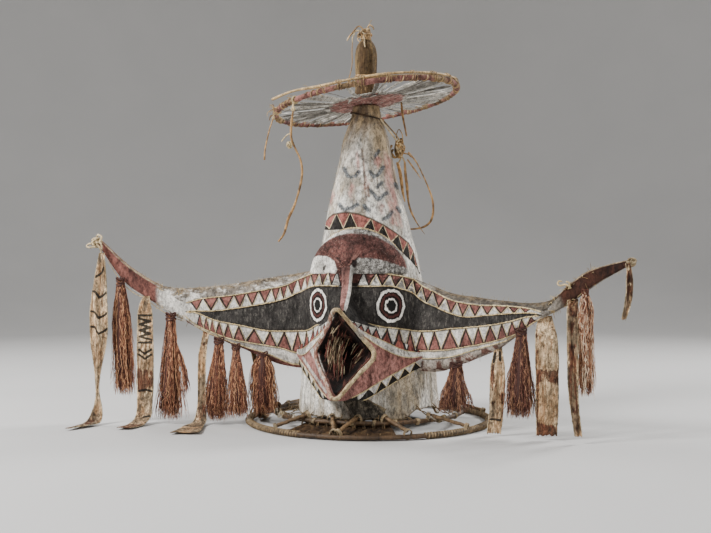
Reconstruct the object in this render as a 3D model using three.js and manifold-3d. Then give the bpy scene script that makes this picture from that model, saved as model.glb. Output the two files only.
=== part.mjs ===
// Dance mask of painted barkcloth stretched on a cane frame: a hollow helmet with a tall cone,
// a long face with two wings and upturned horns, an open snout, a slatted crown disc, a shoulder
// hoop, hanging barkcloth strips and fibre tassels. Millimetres, +Z up, the face looks along -Y.
import * as THREE from "three";
import { mergeVertices } from "three/addons/utils/BufferGeometryUtils.js";
import { ConvexGeometry } from "three/addons/geometries/ConvexGeometry.js";
import Module from "manifold-3d";

const wasm = await Module();
wasm.setup();

// Driving dimensions. The working zero is the middle of the shoulder hoop, on its underside.
const GAP = 0.3; // left between two pieces that touch

const HOOP_RADIUS = 240;
const HOOP_WIDTH = 13;
const HOOP_HEIGHT = 11;
const RING_RADIUS = 186;
const RING_THICKNESS = 9;
const RING_HEIGHT = 23; // middle of the inner ring above the hoop's underside
const STRUT_THICKNESS = 8;

const WALL = 4; // barkcloth, cane and lining of the helmet
const HELMET_HEM = 20; // lower edge of the tube above the floor
const HELMET_CEILING = 592; // where the hollow ends under the neck
const NECK_TOP = 633;
const NECK_TIE_RADIUS = 33.5;
const HELMET_RADII = [ // height, outer radius
  [HELMET_HEM, 140], [80, 136], [125, 133], [165, 127], [240, 116], [302, 103], [336, 98],
  [364, 91], [415, 80], [473, 65], [524, 54], [566, 46], [592, 37], [608, 31], [NECK_TOP, 27],
];
const HELMET_LEAN = -6; // the cone's sideways lean, growing from LEAN_START to LEAN_END
const LEAN_START = 300;
const LEAN_END = 450;
const HELMET_SIDES = 26;
const FOLD_DEPTH = 3; // vertical folds of the tube's cloth, fading out at FOLD_TOP
const FOLD_TOP = 165;

const FACE_RADIUS = 125; // round front of the face, seen from above
const FACE_FORWARD = 13; // how far that round sits ahead of the helmet's axis
const WING_START = 137; // where the round front meets the straight wings
const WING_DEPTH = 80; // the wings' distance ahead of the axis there
const WING_SWEEP = 0.22; // and how much they run forward for each millimetre outward
const CREASE_ROUND = 20;
const FACE_TOP = [ // upper outline, from the left horn's tip to the right one's: x, z
  [-515, 366], [-453, 309], [-385, 271], [-305, 271], [-201, 286], [-93, 303], [0, 303],
  [76, 297], [127, 281], [171, 264], [214, 256], [338, 245], [376, 253], [408, 281],
  [443, 305], [512, 323],
];
const FACE_BOTTOM = [ // lower outline, in the same order
  [-515, 350], [-469, 282], [-414, 241], [-326, 188], [-248, 151], [-130, 109], [0, 130],
  [143, 109], [214, 131], [281, 161], [338, 205], [408, 244], [455, 279], [512, 313],
];
const FACE_THICKNESS = [ // depth of the frame behind the painted front: x, depth
  [-515, 11], [-420, 20], [-330, 32], [-160, 42], [0, 36], [160, 42], [300, 30],
  [400, 20], [512, 10],
];

const BROW_HALF_ANGLE = 57; // degrees round the helmet's axis
const BROW_BASE = 305;
const BROW_HEIGHT = 78;
const BROW_BULGE = 24;

const SNOUT_TOP = [0, -220, 238]; // the four corners of the mouth
const SNOUT_SIDE = [62, -165, 148];
const SNOUT_TIP = [0, -235, 68];
const JAW_BACK = [132, -72, 144]; // the jaw's rear corner below the wing
const JAW_BAND = 20; // height of the painted band under the jaw's edge
const RIM_THICKNESS = 11; // rolled barkcloth round the mouth
const THROAT = [0, -156, 153]; // where the reeds are rooted
const REED_THICKNESS = 3;
const REEDS = 10;

const CROWN_HEIGHT = 641;
const CROWN_TURN = 16; // degrees: the direction in which the disc is tilted
const CROWN_TILT = 8.5; // degrees, one side up
const CROWN_PITCH = -3; // degrees, the far side down
const CROWN_RADIUS = 184;
const CROWN_HUB_RADIUS = 86;
const CROWN_HOLE_RADIUS = 25;
const CROWN_THICKNESS = 4;
const SLATS = 32;
const SLAT_WIDTH = 10; // at the rim
const SLAT_ROOT_WIDTH = 7; // at the hub
const CROWN_RIM_THICKNESS = 12;
const RIM_STEPS = 32; // straight pieces of the faceted hoops
const CROWN_CANE_THICKNESS = 6;

const CLOTH_THICKNESS = 3; // strips and shoulder cloth, folded barkcloth

const FINIAL_RADIUS = 22;
const FINIAL_STEM_RADIUS = 17;
const FINIAL_TOP = 768;

// Small helpers

const vector = (p) => new THREE.Vector3(...p);
const radians = THREE.MathUtils.degToRad;

// A point on a level circle about the upright axis; the angle is in degrees from +X.
function onCircle(angle, radius, z) {
  return new THREE.Vector3(radius * Math.cos(radians(angle)), radius * Math.sin(radians(angle)), z);
}

// Smooth value at x of a curve through [x, value] knots.
function along(knots, x) {
  const last = knots.length - 1;
  let i = 0;
  while (i < last - 1 && x > knots[i + 1][0]) {
    i += 1;
  }
  const slope = (k) => {
    const a = knots[Math.max(k - 1, 0)];
    const b = knots[Math.min(k + 1, last)];
    return (b[1] - a[1]) / (b[0] - a[0]);
  };
  const [x0, y0] = knots[i];
  const [x1, y1] = knots[i + 1];
  const span = x1 - x0;
  const t = THREE.MathUtils.clamp((x - x0) / span, 0, 1);
  const s = 1 - t;
  return (
    y0 * (1 + 2 * t) * s * s + y1 * (3 - 2 * t) * t * t + slope(i) * span * t * s * s
    - slope(i + 1) * span * t * t * s
  );
}

// Merges a geometry's corners and turns its faces outward.
function weld(geometry) {
  const bare = geometry.index ? geometry : mergeVertices(geometry);
  bare.deleteAttribute("normal");
  bare.deleteAttribute("uv");
  const merged = mergeVertices(bare, 1e-3);
  const position = merged.attributes.position;
  const index = merged.index.array;
  const a = new THREE.Vector3();
  const b = new THREE.Vector3();
  const c = new THREE.Vector3();
  const kept = [];
  let volume = 0;
  for (let i = 0; i < index.length; i += 3) {
    const [i0, i1, i2] = [index[i], index[i + 1], index[i + 2]];
    if (i0 === i1 || i1 === i2 || i2 === i0) {
      continue;
    }
    a.fromBufferAttribute(position, i0);
    b.fromBufferAttribute(position, i1);
    c.fromBufferAttribute(position, i2);
    volume += a.dot(b.cross(c)) / 6;
    kept.push([i0, i1, i2]);
  }
  const order = volume < 0 ? kept.map(([i0, i1, i2]) => [i0, i2, i1]) : kept;
  merged.setIndex(order.flat());
  return merged;
}

// Moves every corner of a geometry by a function of its position.
function reshape(geometry, place) {
  const position = geometry.attributes.position;
  for (let i = 0; i < position.count; i += 1) {
    const p = place(position.getX(i), position.getY(i), position.getZ(i));
    position.setXYZ(i, p.x, p.y, p.z);
  }
  return weld(geometry);
}

// A closed slab: place(u, v, side) gives its surface for u and v from 0 to 1, side 0 or 1.
function slab(columns, rows, place) {
  const box = new THREE.BoxGeometry(1, 1, 1, columns, rows, 1);
  return reshape(box, (x, y, z) => place(x + 0.5, y + 0.5, z + 0.5));
}

// A closed stick along a curve; shape(t, angle) gives its radius at t from 0 to 1.
function stick(curve, sides, steps, shape) {
  const frames = curve.computeFrenetFrames(steps, false);
  const cylinder = new THREE.CylinderGeometry(1, 1, 1, sides, steps);
  return reshape(cylinder, (x, y, z) => {
    const step = Math.round((y + 0.5) * steps);
    const t = step / steps;
    const reach = Math.hypot(x, z);
    const radius = reach < 1e-6 ? 0 : shape(t, Math.atan2(z, x)) / reach;
    return curve.getPointAt(t)
      .addScaledVector(frames.normals[step], x * radius)
      .addScaledVector(frames.binormals[step], -z * radius);
  });
}

// A closed ring along a closed curve, of round section.
function loop(curve, radius, sides, steps) {
  const frames = curve.computeFrenetFrames(steps, true);
  const torus = new THREE.TorusGeometry(2, 1, sides, steps);
  return reshape(torus, (x, y, z) => {
    const turn = (Math.atan2(y, x) / (2 * Math.PI) + 1) % 1;
    const step = Math.round(turn * steps) % steps;
    const out = Math.hypot(x, y) - 2;
    return curve.getPointAt(step / steps)
      .addScaledVector(frames.normals[step], out * radius)
      .addScaledVector(frames.binormals[step], z * radius);
  });
}

// A plain string along hand-laid points.
function stringAlong(points, diameter, steps) {
  const section = new THREE.Shape();
  section.absarc(0, 0, diameter / 2, 0, 2 * Math.PI);
  const path = new THREE.CatmullRomCurve3(points.map(vector), false, "centripetal");
  return weld(new THREE.ExtrudeGeometry(section, {
    steps, curveSegments: 4, bevelEnabled: false, extrudePath: path,
  }));
}

// A turned solid about the upright axis; the profile lists [radius, height].
function turned(profile, segments) {
  const points = profile.map(([r, z]) => new THREE.Vector2(r, z));
  const lathe = new THREE.LatheGeometry(points, segments);
  lathe.rotateX(Math.PI / 2);
  return weld(lathe);
}

// A level round ring
function hoop(radius, thickness, sides, steps) {
  return weld(new THREE.TorusGeometry(radius, thickness / 2, sides, steps));
}

function toSolid(geometry) {
  const merged = weld(geometry);
  return new wasm.Manifold(new wasm.Mesh({
    numProp: 3,
    vertProperties: new Float32Array(merged.attributes.position.array),
    triVerts: new Uint32Array(merged.index.array),
  }));
}

function toGeometry(solid) {
  const mesh = solid.getMesh();
  const geometry = new THREE.BufferGeometry();
  geometry.setAttribute("position", new THREE.BufferAttribute(new Float32Array(mesh.vertProperties), 3));
  geometry.setIndex(new THREE.BufferAttribute(new Uint32Array(mesh.triVerts), 1));
  return geometry;
}

// Six copies of a solid, each moved by the gap, joined: what its neighbours are cut with.
function withGap(geometry) {
  let grown = toSolid(geometry.clone());
  for (const axis of ["x", "y", "z"]) {
    for (const way of [-GAP, GAP]) {
      const move = new THREE.Vector3();
      move[axis] = way;
      grown = grown.add(toSolid(geometry.clone().translate(move.x, move.y, move.z)));
    }
  }
  return grown;
}

function cut(geometry, ...cutters) {
  return toGeometry(cutters.reduce((solid, cutter) => solid.subtract(cutter), toSolid(geometry)));
}

// Colours, roughness and metalness of the real materials
const finish = (color, roughness = 0.9) => (
  new THREE.MeshStandardMaterial({ color, roughness, metalness: 0 })
);
const MATERIALS = {
  whiteCloth: () => finish(0xd9d3c8),
  pinkCloth: () => finish(0xb0736c),
  paleCloth: () => finish(0xd8c29a),
  brownCloth: () => finish(0x7d6244),
  greyCloth: () => finish(0x57534b),
  cane: () => finish(0xb59a6e, 0.7),
  fibre: () => finish(0x8f4f36),
  string: () => finish(0xb08a56, 0.8),
};

const model = new THREE.Group();
const mask = new THREE.Group();
model.add(mask);
const cordNames = [];

function addPiece(name, geometry, material, parent = mask) {
  const mesh = new THREE.Mesh(geometry, MATERIALS[material]());
  mesh.name = name;
  parent.add(mesh);
  return mesh;
}

function addString(name, points, diameter, steps) {
  addPiece(name, stringAlong(points, diameter, steps), "string");
  cordNames.push(name);
}

// Helmet: tube over the head and cone above it, open below
const helmetRadius = (z) => along(HELMET_RADII, z);

function helmetProfile(grow) {
  const outer = HELMET_RADII.map(([z, r]) => [r + grow, z]);
  const hollow = HELMET_RADII
    .filter(([z], i) => i % 2 === 0 && z < HELMET_CEILING - WALL)
    .map(([z, r]) => [r - WALL, z])
    .reverse();
  return { outer, hollow };
}

function leanAt(z) {
  return HELMET_LEAN * THREE.MathUtils.clamp((z - LEAN_START) / (LEAN_END - LEAN_START), 0, 1);
}

function drape(x, y, z) {
  const angle = Math.atan2(y, x);
  const fade = THREE.MathUtils.clamp((FOLD_TOP - z) / FOLD_TOP, 0, 1);
  const fold = FOLD_DEPTH * fade * (Math.sin(7 * angle + 0.6) + 0.6 * Math.sin(13 * angle)) / 1.6;
  const scale = 1 + fold / Math.max(Math.hypot(x, y), 1);
  return new THREE.Vector3(x * scale + leanAt(z), y * scale, z);
}

function helmetShell() {
  const { outer, hollow } = helmetProfile(0);
  const profile = [[0, HELMET_CEILING], ...hollow, ...outer, [0, NECK_TOP]];
  return reshape(turned(profile, HELMET_SIDES), drape);
}

// The filled helmet, a gap larger: nothing outside may reach into it
function helmetBody() {
  const { outer } = helmetProfile(GAP);
  const profile = [[0, HELMET_HEM - 40], [outer[0][0], HELMET_HEM - 40], ...outer];
  profile.push([outer[outer.length - 1][0], NECK_TOP + 40], [0, NECK_TOP + 40]);
  return toSolid(reshape(turned(profile, HELMET_SIDES), drape));
}

// Face: the painted front is an arc round the helmet that runs out into the two wings
function faceFront(x) {
  const reach = Math.abs(x);
  const round = FACE_FORWARD + Math.sqrt(Math.max(FACE_RADIUS ** 2 - x * x, 0));
  const wing = WING_DEPTH + WING_SWEEP * (reach - WING_START);
  return -(round + wing + Math.hypot(round - wing, CREASE_ROUND)) / 2;
}

function faceSlab(grow) {
  const [left, right] = [FACE_TOP[0][0], FACE_TOP[FACE_TOP.length - 1][0]];
  return slab(40, 6, (u, v, side) => {
    const x = THREE.MathUtils.lerp(left - grow, right + grow, u);
    const level = (1 - Math.cos(Math.PI * v)) / 2; // rows crowd at both edges
    const top = along(FACE_TOP, x) + grow;
    const bottom = along(FACE_BOTTOM, x) - grow;
    const depth = along(FACE_THICKNESS, x);
    const round = Math.sqrt(Math.max(1 - Math.abs(2 * level - 1) ** 4, 0));
    const half = Math.min(depth, (top - bottom) * 0.9) / 2;
    const offset = Math.max(half * round, 2) + grow;
    const middle = faceFront(x) + half;
    const y = side ? middle - offset : middle + offset;
    return new THREE.Vector3(x, y, THREE.MathUtils.lerp(bottom, top, level));
  });
}

// Brow: a bulge on the front of the cone, above the face
function browDome() {
  const half = radians(BROW_HALF_ANGLE);
  return slab(10, 6, (u, v, side) => {
    const angle = THREE.MathUtils.lerp(-half, half, u);
    const across = angle / half;
    const arch = Math.sqrt(Math.max(1 - across ** 2, 0));
    const z = BROW_BASE + 4 + v * (BROW_HEIGHT * arch + 2);
    const swell = BROW_BULGE * arch ** 0.7 * Math.sqrt(Math.max(1 - v ** 2.4, 0));
    const out = helmetRadius(z) + GAP + (side ? 2.5 + swell : 1.2);
    return new THREE.Vector3(out * Math.sin(angle) + leanAt(z), -out * Math.cos(angle), z);
  });
}

// Snout: two jaw halves and the ridge above, with the mouth hollowed out
const mirrored = (points) => points.map(([x, y, z]) => [-x, y, z]);
const hull = (points) => weld(new ConvexGeometry(points.map(vector)));

function snoutOuter() {
  const jawLow = [JAW_BACK[0], JAW_BACK[1] + 8, JAW_BACK[2] - JAW_BAND];
  const chinLow = [42, -186, 66];
  const jaw = [
    SNOUT_TOP, SNOUT_SIDE, SNOUT_TIP, JAW_BACK, jawLow, chinLow,
    [20, -200, 208], [39, -165, 188], [54, -140, 170], [72, -120, 153],
    [0, -100, 66], [0, -100, 200], [110, -50, 128], [60, -90, 100],
  ];
  const ridge = [
    SNOUT_TOP, [0, -143, 262], [20, -200, 208], [39, -165, 188], [0, -110, 262],
    [0, -110, 180], [45, -120, 190],
  ];
  const halves = [jaw, mirrored(jaw), ridge, mirrored(ridge)].map((points) => toSolid(hull(points)));
  return halves.reduce((solid, half) => solid.add(half));
}

function mouthHollow() {
  const shrink = 0.82;
  const centre = [0, -196, 152];
  const corners = [SNOUT_TOP, SNOUT_SIDE, SNOUT_TIP, mirrored([SNOUT_SIDE])[0]];
  const front = corners.map((corner) => corner.map((c, i) => centre[i] + shrink * (c - centre[i])));
  const ahead = front.map(([x, y, z]) => [x * 1.25, y - 30, centre[2] + (z - centre[2]) * 1.25]);
  const throat = [[12, -146, 166], [-12, -146, 166], [12, -146, 140], [-12, -146, 140]];
  return toSolid(hull([...front, ...ahead, ...throat]));
}

function mouthRim(grow = 0) {
  const out = RIM_THICKNESS / 2 - 1;
  const corners = [SNOUT_TOP, SNOUT_SIDE, SNOUT_TIP, mirrored([SNOUT_SIDE])[0]];
  const points = [];
  corners.forEach((corner, i) => {
    const next = corners[(i + 1) % corners.length];
    for (const t of [0.11, 0.37, 0.63, 0.89]) {
      const p = vector(corner).lerp(vector(next), t);
      points.push(new THREE.Vector3(p.x * 0.97, p.y - out, p.z));
    }
  });
  const path = new THREE.CatmullRomCurve3(points, true, "centripetal");
  return loop(path, RIM_THICKNESS / 2 + grow, 6, 24);
}

// Reeds: cane slivers that spread from the throat, on one root
function mouthReeds() {
  const root = new THREE.SphereGeometry(8, 6, 4).scale(1, 0.7, 1.3).translate(...THROAT);
  let reeds = toSolid(root);
  for (let i = 0; i < REEDS; i += 1) {
    const angle = 2 * Math.PI * (i + 0.5) / REEDS;
    const height = Math.cos(angle);
    const spread = Math.sin(angle);
    const limit = 1 / (Math.abs(height) + Math.abs(spread)); // stays inside the diamond
    const reach = 0.62 * limit * (i % 3 === 1 ? 0.75 : 1);
    const end = new THREE.Vector3(
      56 * spread * reach, -192 - 14 * Math.abs(height) * reach, THROAT[2] + 78 * height * reach,
    );
    const line = new THREE.LineCurve3(vector(THROAT), end);
    reeds = reeds.add(toSolid(stick(line, 4, 1, () => REED_THICKNESS / 2)));
  }
  return toGeometry(reeds);
}

function noseRidge() {
  const path = new THREE.CatmullRomCurve3([
    [0, -144, 301], [0, -146, 280], [0, -152, 265], [0, -178, 255], [0, -208, 249],
  ].map(vector));
  return stick(path, 6, 6, (t, angle) => 6 + 2.5 * Math.abs(Math.cos(angle)));
}

function chinFlap() {
  return slab(6, 4, (u, v, side) => {
    const angle = radians(THREE.MathUtils.lerp(-4, 33, u));
    const edge = Math.sqrt(Math.max(1 - (2 * u - 1) ** 4, 0));
    const z = THREE.MathUtils.lerp(56, 56 - 33 * Math.max(edge, 0.25), v);
    const out = helmetRadius(z) + FOLD_DEPTH + 6 - 3 * v + (side ? 0 : 4);
    return new THREE.Vector3(out * Math.sin(angle), -out * Math.cos(angle), z);
  });
}

// Crown: slatted disc with its rim, both tilted on the neck
const crownTurn = new THREE.Group();
crownTurn.position.set(HELMET_LEAN, 0, CROWN_HEIGHT);
crownTurn.rotation.z = radians(CROWN_TURN);
const crown = new THREE.Group();
crown.rotation.set(radians(CROWN_PITCH), -radians(CROWN_TILT), 0);
crownTurn.add(crown);
mask.add(crownTurn);

function crownDisc() {
  const reach = CROWN_RADIUS * Math.cos(Math.PI / RIM_STEPS) - CROWN_RIM_THICKNESS / 2 - GAP;
  const points = [];
  for (let i = 0; i < SLATS; i += 1) {
    const angle = 2 * Math.PI * i / SLATS;
    const length = reach - (i % 4 === 2 ? 4 : 0.5); // some slats are broken off short
    const root = SLAT_ROOT_WIDTH / 2 / CROWN_HUB_RADIUS;
    const tip = SLAT_WIDTH / 2 / length;
    const corners = [
      [CROWN_HUB_RADIUS, -root], [length, -tip], [length, tip], [CROWN_HUB_RADIUS, root],
    ];
    for (const [r, side] of corners) {
      points.push(new THREE.Vector2(r * Math.cos(angle + side), r * Math.sin(angle + side)));
    }
  }
  const outline = new THREE.Shape(points);
  const hole = new THREE.Path();
  hole.absarc(0, 0, CROWN_HOLE_RADIUS, 0, 2 * Math.PI);
  outline.holes.push(hole);
  const disc = new THREE.ExtrudeGeometry(outline, {
    depth: CROWN_THICKNESS, curveSegments: 8, bevelEnabled: false,
  });
  return weld(disc.translate(0, 0, -CROWN_THICKNESS / 2));
}

function crownCane() {
  const radius = CROWN_RADIUS + 1;
  const height = (CROWN_RIM_THICKNESS + CROWN_CANE_THICKNESS) / 2 + GAP + 0.5;
  const points = [];
  for (let angle = -2; angle >= -118; angle -= 14.5) {
    points.push(onCircle(angle, radius, height));
  }
  points.push(new THREE.Vector3(-140, -130, height + 5));
  points.push(new THREE.Vector3(-184, -84, height + 6));
  const path = new THREE.CatmullRomCurve3(points, false, "centripetal");
  return stick(path, 5, 18, () => CROWN_CANE_THICKNESS / 2);
}

function finial() {
  return turned([
    [0, NECK_TOP + GAP], [FINIAL_STEM_RADIUS, NECK_TOP + GAP], [FINIAL_STEM_RADIUS, 652],
    [FINIAL_RADIUS + 1, 658], [FINIAL_RADIUS, 668], [FINIAL_RADIUS, 735], [FINIAL_RADIUS - 4, 755],
    [9, FINIAL_TOP], [0, FINIAL_TOP],
  ], 10);
}

function finialKnot() {
  const ball = new THREE.SphereGeometry(1, 8, 6);
  return reshape(ball, (x, y, z) => new THREE.Vector3(
    19 * x + 3 * y, 9 * z, FINIAL_TOP + GAP + 13 + 12 * y + 6 * x,
  ));
}

// Shoulder hoop, inner ring and the canes between them
function shoulderHoop() {
  const w = HOOP_WIDTH / 2;
  const section = [
    [-w + 2, 0], [w - 2, 0], [w, HOOP_HEIGHT / 2], [w - 3, HOOP_HEIGHT], [-w + 3, HOOP_HEIGHT],
    [-w, HOOP_HEIGHT / 2], [-w + 2, 0],
  ];
  return turned(section.map(([r, z]) => [HOOP_RADIUS + r, z]), 36);
}

// Each strut: direction on the hoop and on the ring, in degrees from the mask's right round the back
const STRUTS = [
  [-90, -97], [-88, -81], [-121, -113], [-58, -66], [-174, -163], [-26, -38],
  [152, 140], [90, 97], [88, 81], [28, 40],
];

function strut([hoopAngle, ringAngle]) {
  const onHoop = HOOP_HEIGHT + STRUT_THICKNESS / 2 + GAP;
  const onRing = RING_HEIGHT + (RING_THICKNESS + STRUT_THICKNESS) / 2 + 3;
  const start = onCircle(hoopAngle, HOOP_RADIUS - 2, onHoop);
  const end = onCircle(ringAngle, RING_RADIUS - 6, onRing);
  return stick(new THREE.LineCurve3(start, end), 6, 1, () => STRUT_THICKNESS / 2);
}

function shoulderCloth() {
  return slab(10, 1, (u, v, side) => {
    const z = THREE.MathUtils.lerp(12, 3, v) + (side ? CLOTH_THICKNESS : 0);
    return onCircle(THREE.MathUtils.lerp(-118, -62, u), THREE.MathUtils.lerp(172, 231, v), z);
  });
}

// Hanging strips of barkcloth: a centre line, the width along it and the way the flat side faces
function strip({ points, widths, turn, twist = 0 }) {
  const path = new THREE.CatmullRomCurve3(points.map(vector), false, "centripetal");
  return slab(1, 10, (u, v, side) => {
    const centre = path.getPointAt(v);
    const tangent = path.getTangentAt(v);
    const angle = radians(turn + twist * v);
    const across = new THREE.Vector3(Math.cos(angle), Math.sin(angle), 0);
    const out = new THREE.Vector3().crossVectors(across, tangent).normalize();
    return centre
      .addScaledVector(across, (u - 0.5) * along(widths, v))
      .addScaledVector(out, (side - 0.5) * CLOTH_THICKNESS);
  });
}

const STRIPS = {
  strip_1: {
    points: [
      [-502, -176, 338], [-502, -186, 237], [-503, -186, 146], [-506, -186, 79], [-504, -188, 30],
      [-505, -200, 8], [-510, -236, 4], [-518, -276, 4],
    ],
    widths: [[0, 12], [0.25, 37], [0.42, 34], [0.66, 8], [0.84, 30], [1, 8]], turn: 4, twist: 12,
  },
  strip_2: {
    points: [
      [-420, -152, 240], [-416, -158, 170], [-416, -158, 60], [-417, -164, 16],
      [-418, -190, 4], [-421, -238, 4],
    ],
    widths: [[0, 14], [0.12, 32], [0.6, 34], [1, 28]], turn: 6,
  },
  strip_3: {
    points: [
      [-307, -112, 174], [-307, -128, 130], [-307, -130, 40], [-306, -140, 9], [-302, -176, 4],
      [-290, -226, 4], [-284, -258, 4],
    ],
    widths: [[0, 14], [0.3, 17], [0.5, 19], [0.8, 42], [1, 54]], turn: 4, twist: 10,
  },
  strip_4: {
    points: [
      [-219, -72, 136], [-213, -70, 86], [-207, -68, 40], [-206, -62, 9], [-212, -40, 4],
      [-219, 6, 4],
    ],
    widths: [[0, 10], [0.4, 9], [0.7, 18], [1, 12]], turn: 4,
  },
  strip_5: {
    points: [[275, -100, 152], [276, -116, 120], [274, -116, 50], [269, -115, 5]],
    widths: [[0, 14], [0.3, 27], [0.7, 27], [1, 26]], turn: 8,
  },
  strip_6: {
    points: [[363, -118, 206], [367, -138, 170], [368, -138, 80], [367, -138, 9]],
    widths: [[0, 24], [0.2, 40], [0.6, 41], [1, 38]], turn: 8,
  },
  strip_7: {
    points: [[413, -148, 240], [414, -160, 160], [416, -160, 80], [424, -160, 13]],
    widths: [[0, 20], [0.5, 19], [1, 14]], turn: 8,
  },
  strip_8: {
    points: [[509, -176, 308], [510, -178, 276], [508, -178, 252], [502, -178, 220]],
    widths: [[0, 12], [0.4, 15], [1, 11]], turn: 8,
  },
};

// Tassels: a knot at the top, then loose fibre that spreads downward
function tassel({ top, bottom, height, low, wide, flat = 0.7, spread = 0.35 }) {
  const [x0, y0] = top;
  const [x1, y1] = bottom;
  const path = new THREE.CatmullRomCurve3([
    [x0, y0, height], [x0 + (x1 - x0) * 0.3, y0 + (y1 - y0) * 0.3, height - (height - low) * 0.3],
    [x1, y1, low],
  ].map(vector));
  const geometry = stick(path, 6, 6, (t) => {
    const neck = THREE.MathUtils.smoothstep(t, 0.04, spread);
    return wide * (0.36 + 0.64 * neck) * (t > 0.99 ? 0.8 : 1);
  });
  return reshape(geometry, (x, y, z) => new THREE.Vector3(x, y1 + (y - y1) * flat, z));
}

const TASSELS = {
  tassel_1: { top: [-461, -146], bottom: [-457, -150], height: 266, low: 53, wide: 20, spread: 0.2 },
  tassel_2: { top: [-367, -136], bottom: [-368, -140], height: 210, low: 5, wide: 23, spread: 0.4 },
  tassel_3: { top: [-274, -112], bottom: [-279, -124], height: 158, low: 5, wide: 22, spread: 0.5 },
  tassel_4: { top: [-241, -108], bottom: [-234, -118], height: 148, low: 12, wide: 18, spread: 0.5 },
  tassel_5: { top: [-190, -92], bottom: [-189, -96], height: 126, low: 35, wide: 23, spread: 0.2 },
  tassel_6: { top: [196, -90], bottom: [191, -88], height: 118, low: 36, wide: 28, spread: 0.9 },
  tassel_7: { top: [320, -112], bottom: [317, -128], height: 188, low: 34, wide: 21, spread: 0.45 },
  tassel_8: { top: [435, -138], bottom: [436, -140], height: 256, low: 79, wide: 13, spread: 0.2 },
};

// Knots at the horns' tips
function tipKnot(centre, size) {
  const ball = new THREE.SphereGeometry(1, 8, 6);
  return reshape(ball, (x, y, z) => new THREE.Vector3(
    centre[0] + size[0] * x, centre[1] + size[1] * z, centre[2] + size[2] * y,
  ));
}

// Everything is put together here; a piece that rests on another is cut clear of it
const helmetCutter = helmetBody();
const faceCutter = toSolid(faceSlab(GAP));
const faceGeometry = toGeometry(toSolid(faceSlab(0)).subtract(helmetCutter));
const rimGeometry = mouthRim();
const rimCutter = toSolid(mouthRim(2 * GAP));
const snoutGeometry = toGeometry([mouthHollow(), helmetCutter, faceCutter, rimCutter].reduce(
  (solid, cutter) => solid.subtract(cutter), snoutOuter(),
));
const snoutCutter = withGap(snoutGeometry);

addPiece("helmet_shell", helmetShell(), "whiteCloth");
addPiece("face_and_wings", faceGeometry, "pinkCloth");
addPiece("brow_dome", browDome(), "pinkCloth");
addPiece("snout", snoutGeometry, "pinkCloth");
addPiece("mouth_rim", rimGeometry, "paleCloth");
addPiece("mouth_reeds", mouthReeds(), "cane");
addPiece("nose_ridge", cut(noseRidge(), snoutCutter, faceCutter, rimCutter), "pinkCloth");
addPiece("chin_flap", cut(chinFlap(), snoutCutter, helmetCutter), "greyCloth");

addPiece("crown_disc", crownDisc(), "whiteCloth", crown);
addPiece("crown_rim", hoop(CROWN_RADIUS, CROWN_RIM_THICKNESS, 6, RIM_STEPS), "pinkCloth", crown);
addPiece("crown_cane", crownCane(), "cane", crown);
addPiece("finial", finial(), "brownCloth").position.x = HELMET_LEAN;
addPiece("finial_knot", finialKnot(), "string").position.x = HELMET_LEAN;

addPiece("shoulder_hoop", shoulderHoop(), "cane");
addPiece("inner_ring", hoop(RING_RADIUS, RING_THICKNESS, 5, RIM_STEPS), "cane").position.z = RING_HEIGHT;
STRUTS.forEach((ends, i) => addPiece(`strut_${i + 1}`, strut(ends), "cane"));
addPiece("shoulder_cloth", shoulderCloth(), "brownCloth");

for (const [name, shape] of Object.entries(STRIPS)) {
  addPiece(name, strip(shape), "paleCloth");
}
for (const [name, shape] of Object.entries(TASSELS)) {
  addPiece(name, tassel(shape), "fibre");
}
addPiece("left_tip_knot", cut(tipKnot([-522, -162, 360], [19, 10, 14]), faceCutter), "string");
addPiece("right_tip_knot", cut(tipKnot([514, -162, 319], [9, 9, 9]), faceCutter), "string");

// Strings, each along its own hand-laid route
addPiece("neck_tie", hoop(NECK_TIE_RADIUS, 3, 4, 16), "string").position.set(HELMET_LEAN, 0, 613);
addPiece("neck_knot", tipKnot([61, 17, 548], [10, 10, 24]), "string");
addString("long_loop", [
  [77, 18, 541], [91, 24, 523], [104, 30, 496], [115, 35, 469], [121, 39, 450], [123, 42, 435],
  [122, 45, 418], [115, 52, 402], [102, 60, 393], [83, 70, 389], [64, 76, 388], [46, 80, 388],
], 4, 17);
addString("side_strand", [[76, 14, 526], [86, 15, 512], [95, 18, 499], [102, 21, 487]], 3, 6);
addString("front_strand", [
  [72, 8, 521], [73, 8, 503], [74, 10, 488], [76, 11, 472], [77, 14, 449], [80, 17, 430],
  [87, 21, 411], [96, 26, 394], [108, 31, 376],
], 5, 11);
addString("rear_strand", [[52, 28, 522], [55, 35, 506], [58, 38, 486], [60, 41, 463], [64, 44, 443]], 6, 6);
addString("disc_strand", [[58, 37, 645], [60, 36, 628], [64, 32, 606], [69, 27, 588], [72, 24, 574]], 4, 7);
addString("crown_string_1", [
  [-168, -100, 603], [-171, -103, 591], [-174, -105, 580], [-179, -107, 557],
  [-182, -108, 541], [-183, -109, 520],
], 3, 9);
addString("crown_string_2", [
  [-104, -163, 608], [-106, -165, 590], [-107, -167, 570], [-106, -168, 552],
  [-98, -163, 530], [-91, -160, 514], [-88, -158, 494], [-89, -158, 478], [-93, -159, 458],
  [-98, -160, 440], [-104, -162, 422], [-113, -165, 402], [-117, -168, 384], [-121, -170, 371],
  [-130, -174, 358],
], 5, 15);
addString("finial_string", [
  [-33, -6, 762], [-33, -9, 745], [-32, -11, 722], [-34, -13, 704], [-38, -16, 687], [-40, -18, 676],
], 2, 9);

// The zero of the whole model: under the middle of its box, strings left out
model.updateMatrixWorld(true);
const body = new THREE.Box3();
mask.traverse((piece) => {
  if (piece.isMesh && !cordNames.includes(piece.name)) {
    body.expandByObject(piece, true);
  }
});
const middle = body.getCenter(new THREE.Vector3());
mask.position.set(-middle.x, -middle.y, -body.min.z);

export default model;
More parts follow.
